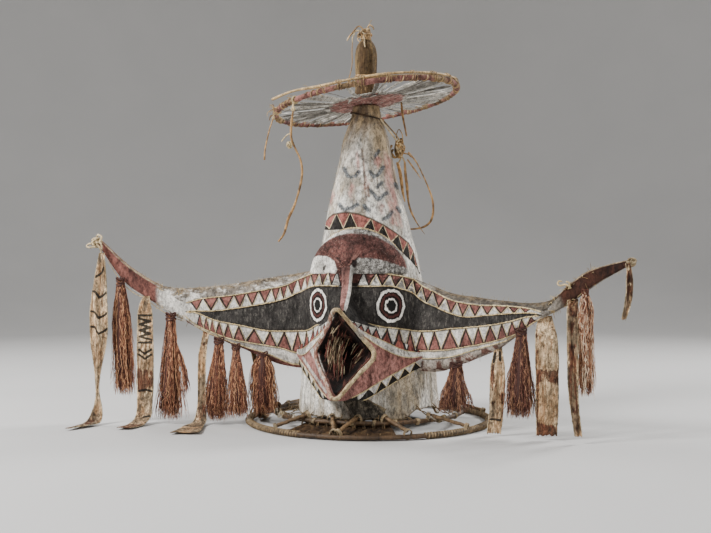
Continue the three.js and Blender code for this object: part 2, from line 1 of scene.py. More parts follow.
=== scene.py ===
import math

import bmesh
import bpy
import numpy as np
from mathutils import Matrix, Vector, noise
from mathutils.bvhtree import BVHTree


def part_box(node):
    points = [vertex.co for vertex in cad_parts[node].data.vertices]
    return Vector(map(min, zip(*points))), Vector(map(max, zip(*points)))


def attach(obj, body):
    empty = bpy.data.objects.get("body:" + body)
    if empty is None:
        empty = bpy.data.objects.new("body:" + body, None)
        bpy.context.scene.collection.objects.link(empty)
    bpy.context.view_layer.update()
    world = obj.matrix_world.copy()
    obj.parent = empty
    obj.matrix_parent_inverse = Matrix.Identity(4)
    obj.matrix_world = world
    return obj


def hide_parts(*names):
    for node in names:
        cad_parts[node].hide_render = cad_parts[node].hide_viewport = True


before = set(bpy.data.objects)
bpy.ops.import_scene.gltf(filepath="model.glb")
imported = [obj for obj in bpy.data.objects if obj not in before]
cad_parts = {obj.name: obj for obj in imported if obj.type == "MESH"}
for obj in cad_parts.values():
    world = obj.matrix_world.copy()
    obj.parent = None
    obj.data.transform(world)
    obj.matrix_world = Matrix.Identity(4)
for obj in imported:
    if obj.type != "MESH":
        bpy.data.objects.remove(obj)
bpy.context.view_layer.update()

rng = np.random.default_rng(7)

# The working zero is the middle of the shoulder hoop, on its underside; sizes below are in mm from it
hoop_low, hoop_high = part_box("shoulder_hoop")
ZERO = np.array([(hoop_low.x + hoop_high.x) / 2, (hoop_low.y + hoop_high.y) / 2, 0.0])


def metres(points):
    return np.asarray(points, float) / 1000 + ZERO


# Camera: level, a little to the right of the mask's own axis
TURN = math.radians(16)
RIGHT = np.array([math.cos(TURN), math.sin(TURN), 0.0])
AHEAD = np.array([-math.sin(TURN), math.cos(TURN), 0.0])
CAMERA_AWAY, CAMERA_LEFT, CAMERA_HEIGHT = 2.087, 0.0272, 0.311
EYE = ZERO - CAMERA_AWAY * AHEAD - CAMERA_LEFT * RIGHT + np.array([0, 0, CAMERA_HEIGHT])
FOCAL_PIXELS = 1036.0
WIDE, HIGH = 711, 533
SENSOR = 36

camera_data = bpy.data.cameras.new("camera")
camera_data.sensor_width = SENSOR
camera_data.lens = SENSOR * FOCAL_PIXELS / WIDE
camera_data.clip_end = 50
camera = bpy.data.objects.new("camera", camera_data)
camera.location = EYE
camera.rotation_euler = (math.pi / 2, 0, TURN)
bpy.context.scene.collection.objects.link(camera)
bpy.context.scene.camera = camera


def pixel_ray(u, v):
    """Direction from the camera through a point of the picture."""
    ray = AHEAD + RIGHT * (u - WIDE / 2) / FOCAL_PIXELS - np.array([0, 0, (v - HIGH / 2) / FOCAL_PIXELS])
    return ray / np.linalg.norm(ray)


# Curves and values

def along(knots, x):
    """Smooth value at x of a curve through (x, value) knots."""
    xs, ys = np.array(knots, float).T
    x = np.asarray(x, float)
    last = len(xs) - 1
    low = np.maximum(np.arange(last + 1) - 1, 0)
    high = np.minimum(np.arange(last + 1) + 1, last)
    slope = (ys[high] - ys[low]) / (xs[high] - xs[low])
    i = np.clip(np.searchsorted(xs, x, side="right") - 1, 0, last - 1)
    span = xs[i + 1] - xs[i]
    t = np.clip((x - xs[i]) / span, 0, 1)
    s = 1 - t
    return (
        ys[i] * (1 + 2 * t) * s * s + ys[i + 1] * (3 - 2 * t) * t * t
        + slope[i] * span * t * s * s - slope[i + 1] * span * t * t * s
    )


def smooth_path(points, count):
    """Evenly spaced points on a centripetal curve through the given ones."""
    p = np.asarray(points, float)
    p = np.vstack([2 * p[0] - p[1], p, 2 * p[-1] - p[-2]])
    dense = []
    for a, b, c, d in zip(p, p[1:], p[2:], p[3:]):
        d0, d1, d2 = (max(np.linalg.norm(q - r) ** 0.5, 1e-6) for q, r in ((b, a), (c, b), (d, c)))
        m1 = ((b - a) / d0 - (c - a) / (d0 + d1) + (c - b) / d1) * d1
        m2 = ((c - b) / d1 - (d - b) / (d1 + d2) + (d - c) / d2) * d1
        t = np.linspace(0, 1, 24, endpoint=False)[:, None]
        dense.append(b + m1 * t + (3 * (c - b) - 2 * m1 - m2) * t ** 2 + (2 * (b - c) + m1 + m2) * t ** 3)
    dense = np.vstack(dense + [p[-2:-1]])
    steps = np.concatenate([[0], np.cumsum(np.linalg.norm(np.diff(dense, axis=0), axis=1))])
    even = np.linspace(0, steps[-1], count)
    return np.stack([np.interp(even, steps, dense[:, k]) for k in range(dense.shape[1])], 1)


def doubled(values):
    """Rows followed by the same rows in reverse, for the two faces of a sheet."""
    return np.concatenate([values, values[::-1]])


def spoke(turn, z=0.0):
    """Unit vectors at angles about the upright axis, with z beside them."""
    return np.stack(np.broadcast_arrays(np.cos(turn), np.sin(turn), z), -1)


def length_of(points):
    return float(np.linalg.norm(np.diff(points, axis=0), axis=1).sum())


def rough(points, scale, seed=0.0):
    """Smooth noise from -1 to 1 at every point."""
    move = Vector((seed, seed * 1.7, -seed))
    flat = np.asarray(points, float).reshape(-1, 3)
    values = [noise.noise(Vector(p) * scale + move) for p in flat]
    return np.array(values).reshape(np.asarray(points).shape[:-1])


def ease(value, low, high):
    t = np.clip((np.asarray(value, float) - low) / (high - low), 0, 1)
    return t * t * (3 - 2 * t)


# Materials: every colour comes from nodes that read the surface's own place or values stored on the mesh

def rgb(code):
    parts = [int(code[i:i + 2], 16) / 255 for i in (0, 2, 4)]
    return [p / 12.92 if p <= 0.04045 else ((p + 0.055) / 1.055) ** 2.4 for p in parts] + [1.0]


class Paint:
    """Builds one material; its methods give sockets that feed each other."""

    def __init__(self, name, specular=0.2):
        self.material = bpy.data.materials.new(name)
        self.material.use_nodes = True
        self.tree = self.material.node_tree
        self.shader = self.tree.nodes["Principled BSDF"]
        self.shader.inputs["Specular IOR Level"].default_value = specular
        self.here = self.tree.nodes.new("ShaderNodeTexCoord").outputs["Object"]

    def node(self, kind, inputs):
        """A new node with its inputs, by name or place, linked to sockets or set to values."""
        node = self.tree.nodes.new("ShaderNode" + kind)
        self.feed(node, inputs)
        return node

    def feed(self, node, inputs):
        for key, value in inputs.items():
            if isinstance(value, bpy.types.NodeSocket):
                self.tree.links.new(value, node.inputs[key])
            else:
                node.inputs[key].default_value = rgb(value) if isinstance(value, str) else value

    def maths(self, kind, *values):
        node = self.node("Math", dict(enumerate(values)))
        node.operation = kind
        return node.outputs[0]

    def add(self, a, b):
        return self.maths("ADD", a, b)

    def less(self, a, b):
        return self.maths("SUBTRACT", a, b)

    def times(self, a, b):
        return self.maths("MULTIPLY", a, b)

    def both(self, *masks):
        result = masks[0]
        for mask in masks[1:]:
            result = self.times(result, mask)
        return result

    def gap(self, a, b):
        """How far one value is from another."""
        return self.maths("ABSOLUTE", self.less(a, b))

    def tooth(self, run, level):
        """Passes 1 at the edge of triangles that stand on whole numbers of run."""
        return self.add(self.times(self.maths("PINGPONG", run, 0.5), 2.0), level)

    def fade(self, value, low, high, out_low=0.0, out_high=1.0):
        """Smooth step from one value to another as the input goes from low to high."""
        node = self.node("MapRange", {"Value": value, "From Min": low, "From Max": high, "To Min": out_low,
                                      "To Max": out_high})
        node.interpolation_type = "SMOOTHSTEP"
        return node.outputs[0]

    def noise(self, scale, detail=4.0, harsh=0.6, stretch=(1, 1, 1), warp=0.0):
        shape = self.node("Mapping", {"Scale": stretch, "Vector": self.here})
        return self.node("TexNoise", {"Vector": shape.outputs[0], "Scale": scale, "Detail": detail,
                                      "Roughness": harsh, "Distortion": warp}).outputs[0]

    def jitter(self, amount, *noise):
        """Noise about zero, to make an edge ragged."""
        return self.times(self.less(self.noise(*noise), 0.5), amount)

    def value(self, name):
        """The number stored on the mesh under a name."""
        node = self.node("Attribute", {})
        node.attribute_name = name
        return node.outputs["Fac"]

    def mix(self, share, a, b, kind="MIX"):
        node = self.node("Mix", {0: share, 6: a, 7: b})
        node.data_type = "RGBA"
        node.blend_type = kind
        return node.outputs[2]

    def shade(self, color, factor):
        """The colour made darker or lighter by a factor."""
        return self.mix(1.0, color, factor, "MULTIPLY")

    def dust(self, color, tone, share, low, high, *noise):
        """A second colour laid on where noise is high."""
        return self.mix(self.times(self.fade(self.noise(*noise), low, high), share), color, tone)

    def grit(self, color, amount):
        """Darkens and lightens a colour by fine noise, as grime does in a coarse surface."""
        stretch = (1, 1, 0.6)
        fine = self.fade(self.noise(170, 6, 0.85, stretch), 0.36, 0.58, 1 - amount, 1 + amount * 0.35)
        broad = self.fade(self.noise(34, 5, 0.8, stretch, 0.3), 0.36, 0.60, 1 - amount * 0.6, 1.12)
        return self.shade(color, self.times(fine, broad))

    def done(self, color, height, depth=0.0008, rough_low=0.75, rough_high=0.95, grime=0.6):
        if grime:
            color = self.grit(color, grime)
        bump = self.node("Bump", {"Strength": 1.0, "Distance": depth, "Height": height})
        self.feed(self.shader, {"Base Color": color, "Normal": bump.outputs[0],
                                "Roughness": self.fade(height, 0.2, 0.8, rough_low, rough_high)})
        return self.material

    def bark(self, stretch=(1, 1, 0.25)):
        """Beaten bark: long fibres one way and a fine crumpled grain."""
        fibres = self.noise(420, 3, 0.7, stretch)
        grain = self.noise(900, 2, 0.7)
        creases = self.noise(60, 4, 0.65, stretch, 0.8)
        return self.add(self.times(fibres, 0.45), self.add(self.times(grain, 0.2), self.times(creases, 0.5)))


def worn(p, clean, dirty, low, high, scale, stretch=(1, 1, 0.4)):
    """A painted colour that breaks up into a second one in patches and specks."""
    return p.mix(p.fade(p.noise(scale, 6, 0.72, stretch, 0.6), low, high), clean, dirty)


def plain_cloth(name, base, coats, grain):
    """Unpainted cloth: a worn colour under coats of other tones."""
    p = Paint(name)
    color = worn(p, *base)
    for coat in coats:
        color = p.dust(color, *coat)
    return p.done(color, p.bark(grain), 0.0016)


EVEN = (1, 1, 1)
WHITE = "e4dfd6"
GREY = "7d7a75"
DARK_PINK = "7c524b"
BLACK = "2f2c2a"
FADED_BLACK = "4d4a46"


def white_cloth(p, streak=(1, 1, 0.3)):
    soiled = worn(p, WHITE, "aaa59c", 0.42, 0.72, 34, streak)
    specks = p.fade(p.noise(210, 6, 0.85, (1, 1, 0.6)), 0.52, 0.62)
    clouds = p.fade(p.noise(34, 4, 0.7), 0.40, 0.58)
    return p.mix(p.both(specks, clouds, 0.75), soiled, GREY)


def cane_material(name="cane", pale="c9ab7a", dark="6b4d2c"):
    p = Paint(name, 0.35)
    tone = p.value("tone")
    base = p.mix(p.fade(p.noise(38, 4, 0.6), 0.3, 0.7), pale, p.mix(0.35, pale, dark))
    base = p.mix(p.fade(tone, 0.4, 1.0), base, dark)
    base = p.mix(p.fade(tone, -0.3, -0.6, 0.0, 0.4), base, "b39a72")
    node_marks = p.fade(p.maths("FRACT", p.times(p.value("run"), 1 / 0.058)), 0.93, 0.99)
    base = p.mix(p.times(node_marks, 0.7), base, dark)
    return p.done(base, p.noise(500, 3, 0.6), 0.0005, 0.45, 0.75)


def string_material(name="string", pale="b78f5c", dark="5b3f24"):
    p = Paint(name, 0.3)
    twist = p.maths("SINE", p.add(p.times(p.value("run"), 2100.0), p.times(p.noise(90, 2, 0.5), 8.0)))
    base = p.mix(p.fade(p.noise(70, 5, 0.7), 0.35, 0.7), pale, dark)
    base = p.mix(p.fade(p.value("tone"), 0.3, 1.0, 0.0, 0.6), base, "e0cda6")
    return p.done(base, p.add(p.times(twist, 0.15), p.noise(600, 3, 0.6)), 0.0006, 0.55, 0.85)


# Mesh making

def own(obj, replaced):
    bpy.context.scene.collection.objects.link(obj)
    if replaced:
        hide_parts(*replaced)
    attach(obj, "root")
    return obj


def mesh_object(name, points, faces, values, material):
    """A smooth mesh from points in mm, with values stored on them."""
    mesh = bpy.data.meshes.new(name)
    mesh.from_pydata(metres(points).reshape(-1, 3).tolist(), [], np.asarray(faces).tolist())
    for key, data in values.items():
        mesh.attributes.new(key, "FLOAT", "POINT").data.foreach_set("value", np.asarray(data, float).ravel())
    mesh.polygons.foreach_set("use_smooth", [True] * len(mesh.polygons))
    mesh.materials.append(material)
    mesh.update()
    return bpy.data.objects.new(name, mesh)


def mesh_piece(name, points, faces, values, material, replaced):
    return own(mesh_object(name, points, faces, values, material), replaced)


def grid_faces(rows, columns, wrap_rows=False, wrap_columns=False):
    index = np.arange(rows * columns).reshape(rows, columns)
    if wrap_rows:
        index = np.vstack([index, index[:1]])
    if wrap_columns:
        index = np.hstack([index, index[:, :1]])
    return np.stack([index[:-1, :-1], index[:-1, 1:], index[1:, 1:], index[1:, :-1]], -1).reshape(-1, 4)


def sheet_faces(rows, columns):
    """Faces of a doubled sheet, closed along its two sides."""
    faces, last = grid_faces(2 * rows, columns, wrap_rows=True).tolist(), 2 * rows - 1
    for row in range(rows - 1):
        for c in (0, columns - 1):
            faces.append([place * columns + c for place in (row, row + 1, last - 1 - row, last - row)])
    return faces


def unit(v):
    return v / np.maximum(np.linalg.norm(v, axis=-1, keepdims=True), 1e-9)


def sweep(paths, radii, sides, flat, normal, closed=False):
    """Tubes along many paths at once: paths (tube, step, 3), radii (tube, step), in any unit."""
    paths = np.asarray(paths, float)
    radii = np.asarray(radii, float)
    if closed:
        tangent = unit(np.roll(paths, -1, 1) - np.roll(paths, 1, 1))
    else:
        tangent = unit(np.gradient(paths, axis=1))
    side = np.zeros_like(paths)
    if normal is None:
        helper = np.where(np.abs(tangent[:, :1, 2:]) < 0.8, [[[0, 0, 1.0]]], [[[1.0, 0, 0]]])
        current = unit(np.cross(tangent[:, 0], helper[:, 0]))
        for i in range(paths.shape[1]):
            current = unit(current - (current * tangent[:, i]).sum(-1, keepdims=True) * tangent[:, i])
            side[:, i] = current
    else:
        side = unit(normal - (normal * tangent).sum(-1, keepdims=True) * tangent)
    other = np.cross(tangent, side)
    turn = 2 * np.pi * np.arange(sides) / sides
    ring = (
        np.cos(turn)[:, None] * side[:, :, None] * flat + np.sin(turn)[:, None] * other[:, :, None]
    ) * radii[:, :, None, None]
    points = paths[:, :, None] + ring
    tubes, steps = paths.shape[:2]
    one = grid_faces(steps, sides, closed, True)
    faces = (one[None] + (np.arange(tubes) * steps * sides)[:, None, None]).reshape(-1, 4)
    walked = np.concatenate(
        [np.zeros((tubes, 1)), np.cumsum(np.linalg.norm(np.diff(paths, axis=1), axis=2), 1)], 1
    )
    return points.reshape(-1, 3), faces, np.repeat(walked[:, :, None], sides, 2).ravel()


class Heap:
    """Collects many small meshes into one piece."""

    def __init__(self):
        self.points, self.faces, self.values, self.count = [], [], {}, 0

    def put(self, points, faces, **values):
        points = np.asarray(points, float).reshape(-1, 3)
        self.faces += (np.asarray(faces) + self.count).tolist()
        self.points.append(points)
        for key in set(values) | set(self.values):
            column = self.values.setdefault(key, [np.zeros(self.count)] if self.count else [])
            column.append(np.broadcast_to(np.asarray(values.get(key, 0.0), float).ravel(), len(points)))
        self.count += len(points)

    def tubes(self, paths, radii, sides, tone=0.0, flat=1.0, normal=None, closed=False, ends=True, **values):
        """Tubes in mm; their ends taper to points unless told otherwise."""
        paths = np.asarray(paths, float)
        if paths.ndim == 2:
            paths = paths[None]
            normal = None if normal is None else np.asarray(normal)[None]
        radii = np.broadcast_to(np.asarray(radii, float), paths.shape[:2]).copy()
        if ends and not closed:
            radii[:, [0, -1]] *= 0.15
        points, faces, run = sweep(paths, radii, sides, flat, normal, closed)
        tone = np.repeat(np.broadcast_to(np.asarray(tone, float), len(paths)), paths.shape[1] * sides)
        self.put(points, faces, run=run / 1000, tone=tone, **values)

    def piece(self, name, material, replaced, slot):
        values = {key: np.concatenate(columns) for key, columns in self.values.items()}
        return mesh_piece(name, np.vstack(self.points), self.faces, values, material, replaced)


CANE = cane_material()
PALE_CANE = cane_material("pale_cane", "d8c394", "8a6a42")
STRING = string_material()

# Strings first: each hangs along the route that the solids give it
STRINGS = {
    "long_loop": ([
        [77, 18, 541], [91, 24, 523], [104, 30, 496], [115, 35, 469], [121, 39, 450], [123, 42, 435],
        [122, 45, 418], [115, 52, 402], [102, 60, 393], [83, 70, 389], [64, 76, 388], [46, 80, 388],
    ], 4, "object", 34, (1.0, 0.7, 0.8, 1.1, 1.3, 1.0, 0.7)),
    "side_strand": ([[76, 14, 526], [86, 15, 512], [95, 18, 499], [102, 21, 487]], 3, "bare", 15, (1, 1.2, 0.4)),
    "front_strand": ([
        [72, 8, 521], [73, 8, 503], [74, 10, 488], [76, 11, 472], [77, 14, 449], [80, 17, 430],
        [87, 21, 411], [96, 26, 394], [108, 31, 376],
    ], 5, "bare", 26, (0.8, 1.2, 1.3, 0.8, 0.9, 0.5, 0.2)),
    "rear_strand": (
        [[52, 28, 522], [55, 35, 506], [58, 38, 486], [60, 41, 463], [64, 44, 443]], 6, "bare", 18,
        (1.0, 1.2, 1.2, 0.9, 0.4)),
    "disc_strand": (
        [[58, 37, 645], [60, 36, 628], [64, 32, 606], [69, 27, 588], [72, 24, 574]], 4, "object", 18,
        (0.9, 1.3, 1.1, 1.0, 0.9)),
    "crown_string_1": ([
        [-168, -100, 603], [-171, -103, 591], [-174, -105, 580], [-179, -107, 557], [-182, -108, 541],
        [-183, -109, 520],
    ], 3, "bare", 20, (1.0, 0.9, 1.0, 1.1, 1.2)),
    "crown_string_2": ([
        [-104, -163, 608], [-106, -165, 590], [-107, -167, 570], [-106, -168, 552], [-98, -163, 530],
        [-91, -160, 514], [-88, -158, 494], [-89, -158, 478], [-93, -159, 458], [-98, -160, 440],
        [-104, -162, 422], [-113, -165, 402], [-117, -168, 384], [-121, -170, 371], [-130, -174, 358],
    ], 5, "bare", 36, (0.7, 1.1, 0.9, 0.7, 0.9, 1.0, 0.8, 1.2, 1.0, 0.7)),
    "finial_string": ([
        [-33, -6, 762], [-33, -9, 745], [-32, -11, 722], [-34, -13, 704], [-38, -16, 687],
        [-40, -18, 676],
    ], 2, "bare", 18, (1, 1, 0.9, 1.1, 0.8)),
}

for name, (route, thick, end, count, swell) in STRINGS.items():
    path = smooth_path(route, count)
    curve = bpy.data.curves.new(name + "_fibre", "CURVE")
    curve.dimensions = "3D"
    spline = curve.splines.new("POLY")
    spline.points.add(count - 1)
    swelling = np.interp(np.linspace(0, 1, count), np.linspace(0, 1, len(swell)), swell)
    for point, place, size in zip(spline.points, metres(path), swelling):
        point.co = (*place, 1)
        point.radius = size
    curve.bevel_depth = thick / 2000
    curve.bevel_resolution = 2
    curve.use_fill_caps = True
    curve.materials.append(STRING)
    piece = own(bpy.data.objects.new(name + "_fibre", curve), [name])


# The painted face and wings: rows of the mesh follow the painted lines, so the pattern is crisp
FACE_TOP = [
    (-515, 366), (-453, 309), (-385, 271), (-305, 271), (-201, 286), (-93, 303), (0, 303),
    (76, 297), (127, 281), (171, 264), (214, 256), (338, 245), (376, 253), (408, 281),
    (443, 305), (512, 323),
]
FACE_BOTTOM = [
    (-515, 350), (-469, 282), (-414, 241), (-326, 188), (-248, 151), (-130, 109), (0, 130),
    (143, 109), (214, 131), (281, 161), (338, 205), (408, 244), (455, 279), (512, 313),
]
FACE_THICKNESS = [
    (-515, 11), (-420, 20), (-330, 32), (-160, 42), (0, 36), (160, 42), (300, 30),
    (400, 20), (512, 10),
]
LINES = [
    [(-344, 238), (-313, 247), (-253, 254), (-201, 263), (-148, 274), (-127, 285), (-82, 298), (-41, 303),
     (8, 303), (46, 300), (76, 295), (104, 288), (127, 273), (150, 263), (176, 251), (201, 244),
     (246, 239), (277, 239), (317, 237), (338, 234), (358, 229)],
    [(-344, 222), (-323, 223), (-288, 223), (-235, 230), (-183, 239), (-148, 248), (-127, 258), (-82, 273),
     (-20, 274), (47, 274), (73, 274), (90, 269), (108, 261), (127, 246), (158, 233), (184, 223),
     (214, 217), (256, 221), (297, 225), (338, 227), (358, 224)],
    [(-344, 220), (-323, 219), (-288, 205), (-235, 194), (-183, 184), (-127, 184), (-97, 187), (-65, 200),
     (10, 205), (32, 204), (57, 198), (90, 193), (117, 188), (150, 189), (176, 193), (214, 197),
     (256, 202), (297, 210), (328, 219), (358, 222)],
    [(-348, 215), (-323, 194), (-288, 178), (-253, 166), (-201, 157), (-155, 149), (-127, 141), (-91, 147),
     (-65, 162), (-20, 185), (31, 186), (58, 169), (89, 153), (122, 150), (171, 153), (189, 156),
     (225, 163), (256, 170), (287, 179), (318, 192), (338, 207), (358, 219)],
    [(-344, 206), (-326, 191), (-277, 168), (-235, 153), (-183, 137), (-131, 117), (-60, 125), (60, 132),
     (145, 136), (184, 141), (225, 154), (267, 167), (287, 173), (314, 188), (338, 206), (358, 217)],
]
APEX_UP_LEFT = [-335, -309, -278, -249, -225, -201, -176, -159, -145, -126, -109, -93, -69, -48, -28]
APEX_UP_RIGHT = [24, 47, 71, 91, 107, 124, 147, 173, 196, 220, 244, 268, 295, 317, 338]
APEX_LOW_LEFT = [-323, -309, -297, -286, -270, -251, -227, -192, -165, -136, -112, -91, -72, -54]
APEX_LOW_RIGHT = [20, 33, 46, 59, 78, 97, 113, 139, 165, 200, 228, 249, 274, 293, 312, 329, 347]
EYES = [(75, 237), (-71, 237)]


def face_front(x):
    reach = np.abs(x)
    round_part = 13 + np.sqrt(np.maximum(125.0 ** 2 - x * x, 0))
    wing = 80 + 0.22 * (reach - 137)
    return -(round_part + wing + np.hypot(round_part - wing, 20)) / 2


def face_side(x, z, back=False):
    """y of the painted front, or of the back, at x and z."""
    top, bottom = along(FACE_TOP, x), along(FACE_BOTTOM, x)
    level = np.clip((z - bottom) / (top - bottom), 0, 1)
    half = np.minimum(along(FACE_THICKNESS, x), (top - bottom) * 0.9) / 2
    offset = np.maximum(half * np.sqrt(np.maximum(1 - np.abs(2 * level - 1) ** 4, 0)), 2)
    return face_front(x) + half + (offset if back else -offset)


HELMET_RADII = [
    (20, 140), (80, 136), (125, 133), (165, 127), (240, 116), (302, 103), (336, 98), (364, 91),
    (415, 80), (473, 65), (524, 54), (566, 46), (592, 37), (608, 31), (633, 27),
]


LEAN = -6


def lean(z):
    """How far the cone's axis has moved in x at a height."""
    return LEAN * np.clip((np.asarray(z, float) - 300) / 150, 0, 1)


def face_lines(x):
    """Heights of the top edge, the five painted lines and the bottom edge, kept in order."""
    top, bottom = along(FACE_TOP, x), along(FACE_BOTTOM, x)
    lines = [along(line, x) for line in LINES]
    inner = ease(x, -385, -344) * (1 - ease(x, 358, 385))
    for i, share in enumerate((0.80, 0.66, 0.50, 0.34, 0.16)):
        lines[i] = lines[i] * inner + (bottom + (top - bottom) * share) * (1 - inner)
    rows = [top]
    for i, line in enumerate(lines):
        rows.append(np.minimum(line, rows[-1] - (1.5 if i == 0 else 0.5)))
    for i in range(5, 0, -1):
        rows[i] = np.maximum(rows[i], (bottom if i == 5 else rows[i + 1]) + 0.5)
    return rows + [bottom]


def face_point(x, z, lift=0.0):
    """Points on the front, lifted off it."""
    x = np.asarray(x, float)
    slope = (face_front(x + 1) - face_front(x - 1)) / 2
    away = unit(np.stack([slope, -np.ones_like(x), np.zeros_like(x)], -1))
    return np.stack([x, face_side(x, z), z * np.ones_like(x)], -1) + away * np.asarray(lift, float)[..., None]


def run_of(x, left, right):
    """Counts the white teeth along x; whole numbers lie on their points."""
    spots = np.array(left + [left[-1] + 9, right[0] - 9] + right, float)
    last = len(left) - 1
    index = np.concatenate([np.arange(last + 1), [last + 0.5, last + 0.5], last + 1 + np.arange(len(right))])
    return np.interp(x, spots, index.astype(float))


columns = 430
xs = np.linspace(-515, 512, columns)
heights = face_lines(xs)
rows, row_value = [], []
for band, parts in enumerate((7, 6, 7, 6, 4, 4)):
    for step in range(parts):
        t = (step / parts) ** (1.6 if band == 0 else 1)
        rows.append(heights[band] * (1 - t) + heights[band + 1] * t)
        row_value.append(band + t)
rows.append(heights[6])
row_value.append(6.0)
front_rows = len(rows)
front = np.stack([face_point(xs, z) for z in rows])
sag = rough(front / 1000, 22, 3) * 1.3 + rough(front / 1000, 70, 5) * 0.5
edge = np.minimum(np.arange(front_rows), front_rows - 1 - np.arange(front_rows))[:, None]
front[..., 1] += sag * np.clip(edge / 3, 0, 1)
front[..., 2] += rough(front / 1000, 30, 9) * 1.5 * (1 - np.clip(edge / 2, 0, 1))
back = []
for step in range(1, 11):
    z = heights[6] + (heights[0] - heights[6]) * (1 - math.cos(math.pi * step / 11)) / 2
    y = face_side(xs, z, True)
    radius = along(HELMET_RADII, z) - 2
    inside = np.abs(xs) < radius
    y = np.where(inside, np.minimum(y, -np.sqrt(np.maximum(radius ** 2 - xs ** 2, 0))), y)
    back.append(np.stack([xs, y, z], -1))
skin = np.concatenate([front, np.stack(back)])
row_value = np.array(row_value + [6.5 + 0.1 * i for i in range(10)])
spread = np.broadcast_to(xs, skin.shape[:2])
eye = np.full(skin.shape[:2], 99.0)
for ex, ez in EYES:
    centre = face_point(np.array([ex]), np.array([ez]))[0]
    away = (skin - centre) * [1.14 if ex < 0 else 1.03, 1, 0.92]
    around = np.arctan2(away[..., 2], away[..., 0])
    strokes = rough(spoke(around), 7.0, ex / 10)
    eye = np.minimum(eye, np.linalg.norm(away, axis=-1) + 2.6 * strokes)
tips = ease(spread, -393, -405) + ease(spread + (skin[..., 2] - 262) * 0.6, 378, 392)


